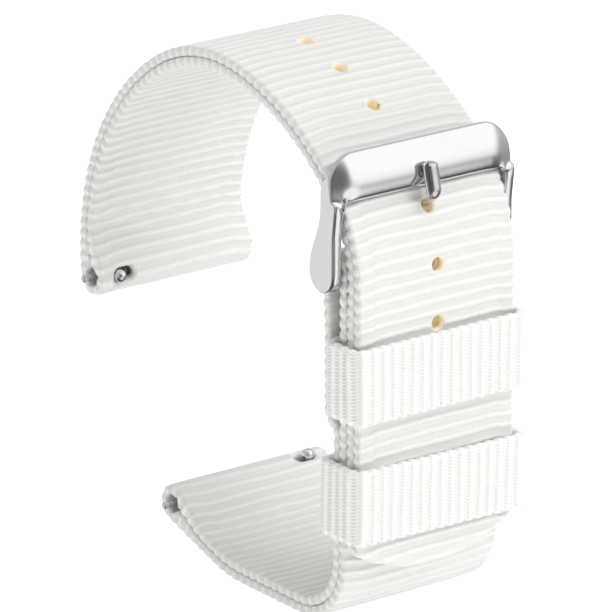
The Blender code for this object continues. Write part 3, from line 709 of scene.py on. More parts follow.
    def tip_shift(self, across, run):
        """How far the webbing is drawn up where the tail's tip is round."""
        rise = self.sizes.get("tip_rise")
        if rise is None:
            return np.zeros_like(run)
        radius = (self.half**2 + rise**2) / (2 * rise)
        lift = radius - np.sqrt(radius**2 - np.minimum(np.abs(across), self.half) ** 2)
        height = self.course.at(run)[1] - TAIL_TIP_HEIGHT
        return lift * (1 - np.clip(height / TIP_FADE_RUN, 0.0, 1.0))

    def tip_way(self, run):
        """Whether the course climbs from the tip at a run, or comes back down to it."""
        return np.where(self.gap(run, 0.0) >= 0, 1.0, -1.0)

    def faces_within(self, away, radius, side):
        """The faces of one side whose vertices' distances lie within a radius, taken together."""
        near = np.nonzero((away < radius + PUNCH_REACH) & (self.vert_side == side))[0]
        faces = {face for i in near if self.verts[i].is_valid for face in self.verts[i].link_faces}
        inside = []
        for face in faces:
            ids = [self.number[vert] for vert in face.verts]
            if all(self.vert_side[i] == side for i in ids) and np.mean(away[ids]) < radius:
                inside.append(face)
        return inside

    def punch(self, middle, centre, radius, reach_x, reach_run, singe):
        """Cut a round-ended opening through the ribbon and wall it."""
        across, run = self.vert_across - middle, self.gap(self.vert_run, centre)
        away = capsule_distance(across, run, reach_x, reach_run)
        loops = []
        for side in (1, -1):
            gone = self.faces_within(away, radius, side)
            uses = Counter(edge for face in gone for edge in face.edges)
            rim = [edge for edge, count in uses.items() if count == 1]
            bmesh.ops.delete(self.shape, geom=gone, context="FACES_KEEP_BOUNDARY")
            for vert in {vert for edge in rim for vert in edge.verts}:
                i = self.number[vert]
                core_x = np.clip(across[i], -reach_x, reach_x)
                core_run = np.clip(run[i], -reach_run, reach_run)
                way = np.array((across[i] - core_x, run[i] - core_run))
                way = way / max(np.hypot(*way), 1e-9) * radius
                rim_across = middle + core_x + way[0]
                rim_run = centre + core_run + way[1]
                height = self.sizes["rib_height"] if side > 0 else 0.0
                facts = (rim_across, self.vert_lift[i], 0.0, side, height, rim_run, RIM_PHASE)
                vert.co = self.surface(*(np.array([float(fact)]) for fact in facts))[0]
                vert[self.singe] = singe
            loops += rim
        walls = bmesh.ops.bridge_loops(self.shape, edges=loops)["faces"]
        layer = self.shape.loops.layers.uv["weave"]
        for face in walls:
            for corner in face.loops:
                corner[layer].uv = (0.5, 0.5)


def capsule_distance(x, run, reach_x, reach_run):
    """Distance from a core stretch that runs along one of the two axes."""
    return np.hypot(x - np.clip(x, -reach_x, reach_x), run - np.clip(run, -reach_run, reach_run))


def spread(*stretches):
    """Places along a line: (first, last, step) stretches joined together."""
    places = []
    for first, last, step in stretches:
        count = max(1, round((last - first) / step))
        places += list(np.linspace(first, last, count, endpoint=False))
    return places + [stretches[-1][1]]


def mirrored(stretches):
    """The same stretches on the other side of the middle line."""
    return [(-last, -first, step) for first, last, step in reversed(stretches)]


def strap_columns(flat, knob_hand):
    """Columns of vertices across a strap half's two sides, finer at the holes, knob and selvedges."""
    holes = (-HOLE_COLUMNS_END, HOLE_COLUMNS_END, HOLE_COLUMN_STEP)
    knob = (KNOB_COLUMNS_START, KNOB_COLUMNS_END, KNOB_COLUMN_STEP)
    selvedge = (SELVEDGE_PLACE - SELVEDGE_FADE, SELVEDGE_PLACE + SELVEDGE_FADE, SELVEDGE_FADE / 2)
    knob_side = [
        (HOLE_COLUMNS_END, KNOB_COLUMNS_START, FACE_COLUMN_STEP),
        knob,
        (KNOB_COLUMNS_END, flat, FACE_EDGE_STEP),
    ]
    plain_side = [
        (HOLE_COLUMNS_END, selvedge[0], FACE_COLUMN_STEP),
        selvedge,
        (selvedge[1], flat, FACE_EDGE_STEP),
    ]
    knob_back = [
        (HOLE_COLUMNS_END, KNOB_COLUMNS_START, BACK_COLUMN_STEP),
        knob,
        (KNOB_COLUMNS_END, flat, BACK_EDGE_STEP),
    ]
    plain_back = [(HOLE_COLUMNS_END, flat, BACK_COLUMN_STEP)]
    sides = []
    for knobbed, plain in ((knob_side, plain_side), (knob_back, plain_back)):
        left, right = (plain, knobbed) if knob_hand > 0 else (knobbed, plain)
        sides.append(spread(*mirrored(left), holes, *right))
    return sides


def side_view_place(across, y, z):
    """Points of a strap half: its width along X and its course in the side view."""
    return np.stack([across, y, z], axis=-1)


def lug_depths(stations):
    """Thickness at each station, growing into the fold round the bar at the last one."""
    end = stations[-1][0]
    shares = [1 - (end - station[0]) / SWELL_RUN for station in stations]
    return [THICKNESS + (2 * LOOP_RADIUS - THICKNESS) * ease(share) for share in shares]


def short_depths(stations):
    """Thickness along the short half: parted at the keeper, bonded below, folded at both bars."""
    depths = []
    for station, lug in zip(stations, lug_depths(stations)):
        if station[0] <= SLOT_RUN:
            share = station[0] / (FIXED_KEEPER_DROP - KEEPER_WIDTH / 2)
            depths.append(2 * LOOP_RADIUS - (2 * LOOP_RADIUS - PARTED_THICKNESS) * ease(share))
        else:
            share = (station[0] - SLOT_RUN) / LAYERS_MEET_RUN
            depths.append(lug + (PARTED_THICKNESS - lug) * (1 - ease(share)))
    return depths


def fold(centre, heading, side):
    """The middle of the webbing round a bar, from the outer face to the inner one."""
    start = math.degrees(math.atan2(*reversed(inwards(heading, -side))))
    return round_points(centre, LOOP_RADIUS - LAYER / 2, start, start - side * 180.0, FOLD_STEPS)[1:-1]


def long_course_points():
    """The long half's ribbon: up the outer side, round the bar and back down the inner side."""
    stations = [s for s in between(LONG, STATION_STEP) if s[0] > LAYER]
    outer = [beneath(s, LAYER / 2, 1) for s in stations]
    inner = [beneath(s, d - LAYER / 2, 1) for s, d in zip(stations, lug_depths(stations))]
    tip = round_points((TAIL_FACE + LAYER, TAIL_TIP_HEIGHT + LAYER), LAYER / 2, 0.0, -180.0, 12)
    # The course starts at the very tip
    half = len(tip) // 2
    return tip[half:] + outer + fold(UPPER_BAR, LONG[-1][3], 1) + inner[::-1] + tip[:half]


def short_course_points():
    """The short half's ribbon: down the outer side, round the lower bar, back and over the buckle's bar."""
    stations = between(SHORT, STATION_STEP)
    outer = [beneath(s, LAYER / 2, -1) for s in stations]
    inner = [beneath(s, d - LAYER / 2, -1) for s, d in zip(stations, short_depths(stations))]
    over = round_points(BUCKLE_BAR, LOOP_RADIUS - LAYER / 2, 0.0, 180.0, FOLD_STEPS)[1:-1]
    return outer + fold(LOWER_BAR, SHORT[-1][3], -1) + inner[::-1] + over


def webbing_sizes(sizes):
    """The sizes that both strap halves share."""
    return {
        "rib_height": sizes.rib_height,
        "edge_height": sizes.edge_height,
        "roundness": 0.22,
        "crest_share": 0.37,
        "flank": 0.16,
        "bow": RIB_BOW,
        "selvedge_shift": SELVEDGE_SHIFT,
        "stray": STRAY_REACH,
        "yarn_pitch": sizes.yarn_pitch,
    }


def spare_room(course, stations, side):
    """Runs along the course near the lug end, and half of the room between the two layers there."""
    depths = lug_depths(stations)
    runs, spare = [], []
    for station, depth in zip(stations, depths):
        if depth > THICKNESS + 1e-6:
            for level in (LAYER / 2, depth - LAYER / 2):
                runs.append(course.nearest(beneath(station, level, side)))
                spare.append((depth - THICKNESS) / 2)
    order = np.argsort(runs)
    runs, spare = np.array(runs)[order], np.array(spare)[order]
    return np.concatenate(([runs[0] - 1e-6], runs, [runs[-1] + 1e-6])), np.concatenate(([0.0], spare, [0.0]))


def hole_runs(course):
    """Where the adjustment holes lie along the course, on both layers."""
    runs = []
    for index in range(-HOLES_BELOW_TONGUE, HOLES_ABOVE_TONGUE + 1):
        station = station_at(LONG, TONGUE_HOLE_RUN + index * HOLE_PITCH)
        for depth in (LAYER / 2, THICKNESS - LAYER / 2):
            runs.append(course.nearest(beneath(station, depth, 1)))
    return runs


def make_strap_half(name, course, stations, bar, side, mate_y, facts, openings, sizes, material):
    """One strap half with its openings, and the slot-shaped one for its knob."""
    knob_run = course.nearest(along(bar, (inwards(stations[-1][3], side), LOOP_RADIUS - LAYER / 2)))
    knob_middle = -side * (KNOB_PLACE - RELEASE_TRAVEL / 2)
    knob = (knob_middle, knob_run, sizes.knob_opening, RELEASE_TRAVEL / 2, 0.0, 0.0)
    heights = (BUCKLE_BAR_HEIGHT - TAIL_FILL_START, TAIL_TIP_HEIGHT + TAIL_TIP_RISE)
    thick = LAYER - LAYERS_APART
    columns = strap_columns(HALF_WIDTH - thick / 2, -side)
    facts = {
        **webbing_sizes(sizes),
        **facts,
        "ragged": knob_run + RAGGED_PAST_KNOB,
        "bar": bar,
        "spare": spare_room(course, between(stations, SPARE_STEP), side),
        "against": [course.nearest((mate_y, z)) for z in heights],
    }
    webbing = Webbing(
        course, HALF_WIDTH, thick, columns, STRAP_ROW_SHARES, facts, side_view_place, openings + [knob]
    )
    return finish_mesh(name, webbing.shape, material)


def make_long_half(sizes, material):
    """The long half with its holes and its round tip."""
    course = Course(long_course_points(), sizes.rib_pitch)
    holes = [(0.0, run, sizes.hole_radius, 0.0, 0.0, 1.0) for run in hole_runs(course)]
    mate_y = TAIL_FACE + THICKNESS - LAYER / 2
    tip = {"tip_rise": TAIL_TIP_RISE}
    return make_strap_half("long_half", course, LONG, UPPER_BAR, 1, mate_y, tip, holes, sizes, material)


def make_short_half(sizes, material):
    """The short half, a loop over the buckle's bar and the lower bar, with the tongue's slot."""
    course = Course(short_course_points(), sizes.rib_pitch)
    top = course.nearest((BUCKLE_BAR[0], BUCKLE_BAR[1] + LOOP_RADIUS))
    drop = TUBE_RADIUS + 2 * SEAT_GAP + TONGUE_COLLAR_WALL
    reach = drop + (LOOP_RADIUS - LAYER / 2) * math.pi / 2 - TONGUE_SLOT_RADIUS
    slot = [(0.0, top, TONGUE_SLOT_RADIUS, 0.0, reach, SLOT_SINGE)]
    mate_y = SHORT_FACE + LAYER / 2
    return make_strap_half("short_half", course, SHORT, LOWER_BAR, -1, mate_y, {}, slot, sizes, material)


def keeper_teeth(pitch, depth, flat):
    """Fine cross yarns of a keeper, which bite into its ribs, deepest along one flank."""

    def teeth(across, phase):
        yarn = (across + flat) / pitch + NOTCH_LEAN * (2 * phase - 1)
        bite = (0.5 + 0.5 * np.cos(2 * np.pi * yarn)) ** 1.5
        low, high = (np.exp(-(((phase - place) / NOTCH_REACH) ** 2)) for place in NOTCH_PLACES)
        return depth * bite * (0.08 + NOTCH_LOW_SHARE * low + high)

    return teeth


def make_keeper(name, height, back_face, turn, sizes, material):
    """A keeper: a ring of webbing round the strap, with its ribs along the strap, turned in its plane."""
    half_inner = HALF_WIDTH + SEAT_GAP
    front = TAIL_FACE - SEAT_GAP - KEEPER_LAYER / 2
    back = back_face - KEEPER_LAYER / 2
    reach = half_inner + KEEPER_LAYER / 2
    radius = KEEPER_CORNER_RADIUS - KEEPER_LAYER / 2
    course = Course(rounded_box((-reach, front), (reach, back), radius, 10), sizes.keeper_rib_pitch)
    thick = KEEPER_LAYER - KEEPER_TRIM
    flat = KEEPER_WIDTH / 2 - thick / 2
    facts = {
        "rib_height": sizes.keeper_rib_height,
        "edge_height": sizes.keeper_rib_height * 0.7,
        "roundness": 0.35,
        "crest_share": 0.56,
        "flank": 0.20,
        "bow": 0.0,
        "selvedge_shift": 0.0,
        "stray": 0.0,
        "yarn_pitch": sizes.keeper_yarn_pitch,
        "teeth": keeper_teeth(sizes.keeper_yarn_pitch, sizes.keeper_tooth_depth, flat),
    }

    def place(across, x, y):
        z = across * math.cos(turn) - x * math.sin(turn)
        return np.stack([x * math.cos(turn) + across * math.sin(turn), y, height + z], axis=-1)

    columns = (spread((-flat, flat, sizes.keeper_yarn_pitch / 4)), spread((-flat, flat, BACK_EDGE_STEP)))
    webbing = Webbing(course, KEEPER_WIDTH / 2, thick, columns, KEEPER_ROW_SHARES, facts, place)
    return finish_mesh(name, webbing.shape, material)


# The buckle's frame and tongue


def plate_frame():
    """The plate's foot and its directions up and out, as (y, z) pairs."""
    station = station_at(LONG, TONGUE_HOLE_RUN + PLATE_FOOT_RUN)
    foot = beneath(station, -(SEAT_GAP + PLATE_THICKNESS), 1)
    tilt = math.radians(PLATE_TILT)
    return foot, (math.sin(tilt), math.cos(tilt)), (-math.cos(tilt), math.sin(tilt))


def crown(share):
    """How far the plate's face stands out of its chord at a share of its height."""
    return PLATE_CROWN * math.sin(math.pi * share)


def round_off(distance, reach, depth=None):
    """How far an edge with an oval rounding falls away at a distance in from it."""
    inside = np.clip(1 - distance / reach, 0.0, 1.0)
    return (reach if depth is None else depth) * (1 - np.sqrt(1 - inside**2))


def buckle_sides():
    """Matching front and back points of the frame in the side view: plate, arm and round end.

    The first key runs from 1 at the plate's top to 0 at its foot, then down to -1 at the bar and -2 at
    the lowest point of the arm's end.
    """
    foot, up, out = plate_frame()
    y, z = BUCKLE_BAR
    behind = -(PLATE_THICKNESS + ARM_BEHIND_PLATE)
    join = along(foot, (up, PLATE_HEIGHT * ARM_JOIN_SHARE), (out, behind))
    shoulder = (y - ARM_END_RADIUS + ARM_NECK_WIDTH, z + ARM_NECK_RISE * ARM_SHOULDER_SHARE)
    keys, front, back = [], [], []
    for key in np.linspace(1.0, 0.0, SIDE_PLATE_STEPS + 1):
        keys.append(key)
        front.append(along(foot, (up, PLATE_HEIGHT * key), (out, crown(key))))
        if key >= ARM_JOIN_SHARE:
            back.append(along(foot, (up, PLATE_HEIGHT * key), (out, behind)))
        else:
            neck = (shoulder[0], z + ARM_NECK_RISE)
            legs = np.array([neck, shoulder, join])
            place = key / ARM_JOIN_SHARE
            back.append(tuple(np.interp(place, [0.0, SHOULDER_SHARE, 1.0], legs[:, k]) for k in range(2)))
    low_front = (y - ARM_END_RADIUS, z + ARM_NECK_RISE * ARM_JOIN_SHARE)
    for key in np.linspace(0.0, -1.0, SIDE_ARM_STEPS + 1)[1:]:
        keys.append(key)
        share = 1 + key
        reach = ARM_END_RADIUS - (2 * ARM_END_RADIUS - ARM_NECK_WIDTH) * float(ease(share))
        back.append((y + reach, z + ARM_NECK_RISE * share))
        legs = np.array([(y - ARM_END_RADIUS, z), low_front, front[SIDE_PLATE_STEPS]])
        front.append(tuple(np.interp(share, [0.0, ARM_JOIN_SHARE, 1.0], legs[:, k]) for k in range(2)))
    for angle in np.linspace(0.0, 90.0, SIDE_END_STEPS + 1)[1:]:
        keys.append(-1 - angle / 90)
        turn = math.radians(angle)
        rise = z - ARM_END_RADIUS * math.sin(turn)
        front.append((y - ARM_END_RADIUS * math.cos(turn), rise))
        back.append((y + ARM_END_RADIUS * math.cos(turn), rise))
    keys, front, back = np.array(keys), np.array(front), np.array(back)
    for line in (front, back):
        for _ in range(3):
            line[1:-1] = (line[:-2] + 2 * line[1:-1] + line[2:]) / 4
    return keys[::-1], front[::-1], back[::-1]


def buckle_columns():
    """Places across the frame, closest together at the ends of the plate and the edges of the arms."""
    start = ARM_OUTER - PLATE_CORNER_RADIUS
    arc_places = [start + PLATE_CORNER_RADIUS * math.sin(a) for a in np.linspace(0.0, math.pi / 2, 17)]
    inner = [ARM_INNER + COLUMN_STEP * steps for steps in (-1, 0, 2, 6, 12.5)]
    apart = [p for p in arc_places if min(abs(p - q) for q in inner) > 2.5 * COLUMN_STEP]
    right = sorted(apart + inner)
    middle = list(np.linspace(-start, start, 9))[1:-1]
    return np.array([-p for p in right[::-1]] + middle + right)


def frame_rows():
    """Keys of the frame's rows, closest together at its edges, and the number of the row at the foot."""
    upper = 1 - 0.5 * np.linspace(0.0, 1.0, 15) ** 1.8
    lower = 0.5 * np.linspace(1.0, 0.0, 17)[1:] ** 1.6
    arms = np.linspace(0.0, -1.0, 19)[1:]
    ends = -1 - np.sin(np.linspace(0.0, math.pi / 2, 11))[1:]
    return np.concatenate([upper, lower, arms, ends]), len(upper) + len(lower) - 1


def inner_sag(reach, fillet):
    """How much lower the plate's foot lies at each place across, where a fillet joins it to an arm."""
    into = np.clip((reach - (ARM_INNER - fillet)) / fillet, 0.0, 1.0)
    arm_share = np.clip((reach - ARM_INNER) / ARM_THICKNESS, 0.0, 1.0)
    return fillet * np.where(reach > ARM_INNER, 1 - arm_share, 1 - np.sqrt(1 - into**2))


def end_fall(aside, bevel):
    """How far the plate's face falls away towards its end: a soft slope, then a round edge."""
    soft = bevel * END_BEVEL_SOFT_SHARE
    slant = END_BEVEL_SLOPE * soft * math.log1p(math.exp((bevel - aside) / soft))
    return slant + round_off(aside, PLATE_END_ROUND)


def make_buckle_frame(sizes, material):
    """The polished frame: a cushioned plate with round ends, running on into two drop-shaped arms."""
    keys, front, back = buckle_sides()
    xs = buckle_columns()
    rows, foot_row = frame_rows()
    reach = np.abs(xs)
    corner = np.clip(reach - (ARM_OUTER - PLATE_CORNER_RADIUS), 0.0, PLATE_CORNER_RADIUS)
    drop = PLATE_CORNER_RADIUS - np.sqrt(PLATE_CORNER_RADIUS**2 - corner**2)
    slope = np.sqrt(np.maximum(1 - (corner / PLATE_CORNER_RADIUS) ** 2, 0.0))
    sag = inner_sag(reach, sizes.inner_corner)
    rings = []
    for i, x in enumerate(xs):
        in_arm = reach[i] >= ARM_INNER
        top = 1 - (drop[i] + sizes.plate_top_drop) / PLATE_HEIGHT
        key = np.where(rows >= 0, rows * top, rows)
        fade = np.exp(-((rows * PLATE_HEIGHT / INNER_CORNER_REACH) ** 2))
        key = key - sag[i] * fade / np.where(key > 0, PLATE_HEIGHT, ARM_NECK_RISE)
        f = np.stack([np.interp(key, keys, front[:, k]) for k in range(2)], axis=-1)
        b = np.stack([np.interp(key, keys, back[:, k]) for k in range(2)], axis=-1)
        way = b - f
        depth = np.hypot(*way.T)
        way = way / np.maximum(depth, 1e-9)[:, None]
        height = np.maximum(key, 0.0) * PLATE_HEIGHT
        plate_share = ease((rows + PLATE_FADE_PLACE) / PLATE_FADE_RUN)
        aside = ARM_OUTER - reach[i]
        fall = end_fall(aside, sizes.end_bevel) * plate_share
        fall = fall + round_off(aside, sizes.arm_rounding) * (1 - plate_share)
        below_top = (top * PLATE_HEIGHT - height) * max(slope[i], TOP_SLOPE_LEAST)
        fall = fall + round_off(below_top, sizes.plate_top_rounding) * (rows >= 0)
        foot_share = 1 - float(ease((reach[i] - ARM_INNER) / FOOT_ROUND_FADE + 1))
        foot_fall = round_off(height, sizes.plate_foot_reach, sizes.plate_foot_depth)
        fall = fall + foot_fall * foot_share * (rows >= 0)
        if in_arm:
            inner = round_off(reach[i] - ARM_INNER, sizes.arm_rounding * ARM_INNER_ROUND_SHARE)
            fall = fall + inner * (1 - plate_share)
            rear = sum(round_off(edge, sizes.back_rounding) for edge in (aside, reach[i] - ARM_INNER))
            rear = np.full(len(rows), rear)
        else:
            rear = depth - PLATE_THICKNESS
            edge = np.minimum(height, top * PLATE_HEIGHT - height)
            rear = rear + round_off(edge, PLATE_BACK_ROUND) * PLATE_BACK_ROUND_SHARE
        fall = np.minimum(fall, depth * ARM_FALL_SHARE if in_arm else PLATE_THICKNESS * PLATE_FALL_SHARE)
        # The two skins never meet before the arm's very end
        rear = np.minimum(rear, np.maximum(depth - fall - SKINS_APART, 0.0))
        near, far = f + way * fall[:, None], b - way * rear[:, None]
        rings.append([(x, *p) for p in near] + [(x, *p) for p in far[::-1]])
    shape = open_loft(rings, foot_row, reach < ARM_INNER - COLUMN_STEP / 2)
    sockets = prism(
        round_points((0.0, 0.0), TIP_RADIUS + 2 * BAR_GAP, 0.0, 360.0, 32)[:-1],
        2 * (ARM_INNER + BAR_SOCKET_DEPTH),
        side_view_matrix(BUCKLE_BAR),
    )
    bmesh.ops.remove_doubles(shape, verts=shape.verts, dist=1e-7)
    bmesh.ops.recalc_face_normals(shape, faces=shape.faces)
    shape = cut_together(shape, [("DIFFERENCE", sockets)])
    piece = finish_mesh("polished_frame", shape, material, 50.0)
    weigh = piece.modifiers.new("even_normals", "WEIGHTED_NORMAL")
    weigh.keep_sharp = True
    return piece


def open_loft(rings, foot_row, open_columns):
    """A skin through the frame's rings, with the room below the plate cut out and walled."""
    points = np.array(rings)
    ring = points.shape[1]
    shape, row, column = grid(ring, len(points) - 1)
    table = {}
    for vert, i, j in zip(shape.verts, row, column):
        vert.co = points[j, i % ring]
        table[(j, i)] = vert
    places = {vert: key for key, vert in table.items()}
    gone = []
    for face in shape.faces:
        keys = [places[vert] for vert in face.verts]
        below = min(min(i, ring - 1 - i) for _, i in keys) >= foot_row
        if below and any(open_columns[j] for j, _ in keys):
            gone.append(face)
    bmesh.ops.delete(shape, geom=gone, context="FACES")
    loose = [vert for vert in shape.verts if not vert.link_faces]
    bmesh.ops.delete(shape, geom=loose, context="VERTS")
    wall_open_room(shape, table, ring, foot_row, open_columns)
    bmesh.ops.remove_doubles(shape, verts=shape.verts, dist=1e-7)
    caps = [edge for edge in shape.edges if edge.is_boundary]
    bmesh.ops.holes_fill(shape, edges=caps, sides=0)
    return shape


def wall_open_room(shape, table, ring, foot_row, open_columns):
    """Walls from the front skin to the back skin along the foot and down the arms' inner sides."""
    half = ring // 2
    inside = np.nonzero(open_columns)[0]
    left, right = inside[0] - 1, inside[-1] + 1
    front = [(left, i) for i in range(half - 1, foot_row, -1)]
    front += [(j, foot_row) for j in range(left, right + 1)]
    front += [(right, i) for i in range(foot_row + 1, half)]
    twins = {table[key]: table[(key[0], ring - 1 - key[1])].co.copy() for key in front}
    edges = [shape.edges.get((table[first], table[second])) for first, second in zip(front, front[1:])]
    made = bmesh.ops.extrude_edge_only(shape, edges=edges)["geom"]
    fresh = [thing for thing in made if isinstance(thing, bmesh.types.BMVert)]
    for vert in fresh:
        owner = next(edge.other_vert(vert) for edge in vert.link_edges if edge.other_vert(vert) in twins)
        vert.co = twins[owner]


def side_view_matrix(place):
    """Matrix that lays a flat outline in the side view about a place, with its depth along X."""
    turn = Matrix(((0, 0, 1), (1, 0, 0), (0, 1, 0))).to_4x4()
    return Matrix.Translation(Vector((0.0, *place))) @ turn


def tongue_line():
    """Where the tongue's middle runs in the side view, from its collar to its tip."""
    station = station_at(LONG, TONGUE_HOLE_RUN)
    way_in = inwards(station[3], 1)
    ahead = (-way_in[1], way_in[0])
    start = along(BUCKLE_BAR, ((0.0, 1.0), TUBE_RADIUS + SEAT_GAP + TONGUE_COLLAR_WALL / 2))
    through = along((station[1], station[2]), (ahead, TONGUE_HIGH_IN_HOLE))
    behind = along(through, (way_in, THICKNESS + TONGUE_STANDOFF))
    foot, up, out = plate_frame()
    beside = along(foot, (out, SEAT_GAP + TONGUE_THICKNESS / 2))
    bend = crossing(through, way_in, beside, up)
    share = TONGUE_REACH / PLATE_HEIGHT
    middle = along(foot, (up, TONGUE_REACH / 2), (out, crown(share / 2) + SEAT_GAP + TONGUE_THICKNESS / 2))
    tip = along(foot, (up, TONGUE_REACH), (out, crown(share) + SEAT_GAP + TONGUE_THICKNESS / 2))
    return [start, behind, bend, middle, tip]


def crossing(first, first_way, second, second_way):
    """Where two lines of the side view cross."""
    turn = first_way[0] * second_way[1] - first_way[1] * second_way[0]
    gap = (second[0] - first[0], second[1] - first[1])
    return along(first, (first_way, (gap[0] * second_way[1] - gap[1] * second_way[0]) / turn))


def rounded_line(points, trim, steps):
    """A polyline with each inner corner drawn as a curve that starts a trim before it."""
    line = [np.array(points[0])]
    for before, corner, after in zip(points, points[1:], points[2:]):
        before, corner, after = (np.array(p) for p in (before, corner, after))
        back = min(trim, np.linalg.norm(before - corner) * 0.48)
        ahead = min(trim, np.linalg.norm(after - corner) * 0.48)
        first = corner + (before - corner) / np.linalg.norm(before - corner) * back
        last = corner + (after - corner) / np.linalg.norm(after - corner) * ahead
        for t in np.linspace(0.0, 1.0, steps + 1):
            line.append((1 - t) ** 2 * first + 2 * t * (1 - t) * corner + t**2 * last)
    line.append(np.array(points[-1]))
    return np.array(line)


def tongue_ring(point, out_way, width, inner, outer, hollow, steps=80):
    """One ring of the tongue: a round bar whose near side may be rolled open."""
    middle = Vector((0.0, *point))
    half, tall = width / 2, (inner + outer) / 2
    ring = []
    for angle in np.linspace(0.0, 2 * math.pi, steps, endpoint=False):
        c, s = math.cos(angle), math.sin(angle)
        away = abs(math.remainder(angle - math.radians(TONGUE_HOLLOW_FACING), 2 * math.pi))
        dent = 1 - hollow * float(ease((math.radians(TONGUE_HOLLOW_SPREAD) - away) / TONGUE_LIP_TURN))
        x = half * c * dent
        out = tall - inner + tall * s * dent
        ring.append(tuple(middle + Vector((0.0, *out_way)) * out + Vector((x, 0.0, 0.0))))
    return ring


def make_tongue(sizes, material):
    """The tongue: a rolled strip, thin through the hole and thick over the plate, with a collar."""
    points = tongue_line()
    line = rounded_line(points, TONGUE_BEND_TRIM, 7)
    runs = np.concatenate(([0.0], np.cumsum(np.hypot(*np.diff(line, axis=0).T))))
    bend_run = runs[np.argmin(np.hypot(*(line - np.array(points[2])).T))]
    end = runs[-1]
    thin = TONGUE_THICKNESS / 2
    proud = TONGUE_HEAD_THICKNESS - thin
    cap_start = end - TONGUE_CAP_RUN
    shank = np.linspace(0.0, bend_run, 26)[:-1]
    head = np.linspace(bend_run, cap_start, 18)
    cap = cap_start + TONGUE_CAP_RUN * np.sin(np.linspace(0.0, math.pi / 2, 8)[1:])
    rings = []
    for run in np.concatenate([shank, head, cap]):
        point, back, ahead = (
            np.array([np.interp(run + shift, runs, line[:, k]) for k in range(2)])
            for shift in (0.0, -STATION_STEP, STATION_STEP)
        )
        way = (ahead - back) / np.linalg.norm(ahead - back)
        out_way = (-way[1], way[0])
        grow = float(ease((run - bend_run + TONGUE_GROW_EARLY) / TONGUE_GROW_RUN))
        opened = float(ease((run - bend_run + TONGUE_OPEN_EARLY) / TONGUE_OPEN_RUN))
        beyond = max(0.0, (run - cap_start) / TONGUE_CAP_RUN)
        close = max(math.sqrt(max(0.0, 1 - beyond**2)), TONGUE_BLUNT_SHARE)
        width = (TONGUE_SHANK_WIDTH + (TONGUE_HEAD_WIDTH - TONGUE_SHANK_WIDTH) * grow) * close
        outer = (thin + (proud - thin) * grow) * close
        inner = (thin + TONGUE_NEARER_PLATE * grow) * close
        hollow = sizes.tongue_hollow * opened * close**0.4
        rings.append(tongue_ring(point, out_way, width, inner, outer, hollow))
    joined = cut_together(loft(rings), [("UNION", tongue_collar())])
    return finish_mesh("rolled_tongue", joined, material, 58.0)


def tongue_collar():
    """The tongue's collar: a short tube round the buckle's bar, with bevelled edges."""
    bore = TUBE_RADIUS + SEAT_GAP
    outer = bore + TONGUE_COLLAR_WALL
    reach = TONGUE_COLLAR_WIDTH / 2
    lip = COLLAR_CHAMFER
    profile = [
        (bore, reach),
        (outer - lip, reach),
        (outer, reach - lip),
        (outer, lip - reach),
        (outer - lip, -reach),
        (bore, -reach),
        (bore, reach),
    ]
    return spun(profile, across_matrix(BUCKLE_BAR, 1), 40)


# The sprung bars


def across_matrix(centre, hand):
    """Matrix that lays a turned piece's axis along X, towards +X for hand 1 and -X for hand -1."""
    turn = Matrix(((0, 0, hand), (0, 1, 0), (-hand, 0, 0))).to_4x4()
    return Matrix.Translation(Vector((0.0, *centre))) @ turn


def knob_matrix(centre, heading, side, hand):
    """Matrix at a knob's place whose local Z points from the bar towards the wrist."""
    across = Vector((1, 0, 0))
    out = Vector((0, *inwards(heading, side)))
    turn = Matrix((across, out.cross(across), out)).transposed().to_4x4()
    return Matrix.Translation(Vector((hand * KNOB_PLACE, *centre))) @ turn


def make_tip(name, centre, tip_end, hand, material):
    """A stepped tip with a round-edged end, its head inside the tube."""
    head_top = RELEASE_TUBE_END - TUBE_LIP - BAR_GAP
    groove = tip_end - TIP_GROOVE_BACK
    waist = TIP_RADIUS - TIP_GROOVE_DEPTH
    profile = [
        (0.0, tip_end),
        *round_points((TIP_RADIUS - TIP_ROUND, tip_end - TIP_ROUND), TIP_ROUND, 90.0, 0.0, 5),
        (TIP_RADIUS, groove),
        (waist, groove - TIP_GROOVE_BEVEL),
        (waist, groove - TIP_GROOVE_WIDTH + TIP_GROOVE_BEVEL),
        (TIP_RADIUS, groove - TIP_GROOVE_WIDTH),
        (TIP_RADIUS, head_top),
        (HEAD_RADIUS - TIP_GROOVE_DEPTH, head_top),
        (HEAD_RADIUS, head_top - TIP_GROOVE_DEPTH),
        (HEAD_RADIUS, head_top - HEAD_LENGTH),
        (0.0, head_top - HEAD_LENGTH),
    ]
    return finish_mesh(name, spun(profile, across_matrix(centre, hand)), material, 35.0)


def make_knob(name, centre, heading, side, hand, material):
    """A release knob: a ball with a flattened crown on a waisted neck."""
    top = LOOP_RADIUS + KNOB_PROUD
    middle = top - KNOB_RADIUS
    foot = HEAD_RADIUS + BAR_GAP
    meet = math.degrees(math.acos(KNOB_NECK_RADIUS / KNOB_RADIUS))
    ball = round_points((0.0, middle), KNOB_RADIUS, 90.0, -meet, 20)
    profile = [
        (0.0, top),
        *ball[1:],
        (KNOB_NECK_RADIUS * KNOB_WAIST_SHARE, foot + KNOB_WAIST_RISE),
        (KNOB_NECK_RADIUS, foot + KNOB_FOOT_RISE),
        (KNOB_NECK_RADIUS, foot),
        (0.0, foot),
    ]
    return finish_mesh(name, spun(profile, knob_matrix(centre, heading, side, hand)), material, 50.0)


def shorten(spring, joint, anchor, travel):
    """Let a spring shorten along X towards its still end, by a joint's whole travel."""
    ends = [corner[0] for corner in spring.bound_box]
    length = max(abs(end - anchor[0]) for end in ends)
    1 - travel / length
    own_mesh(spring)


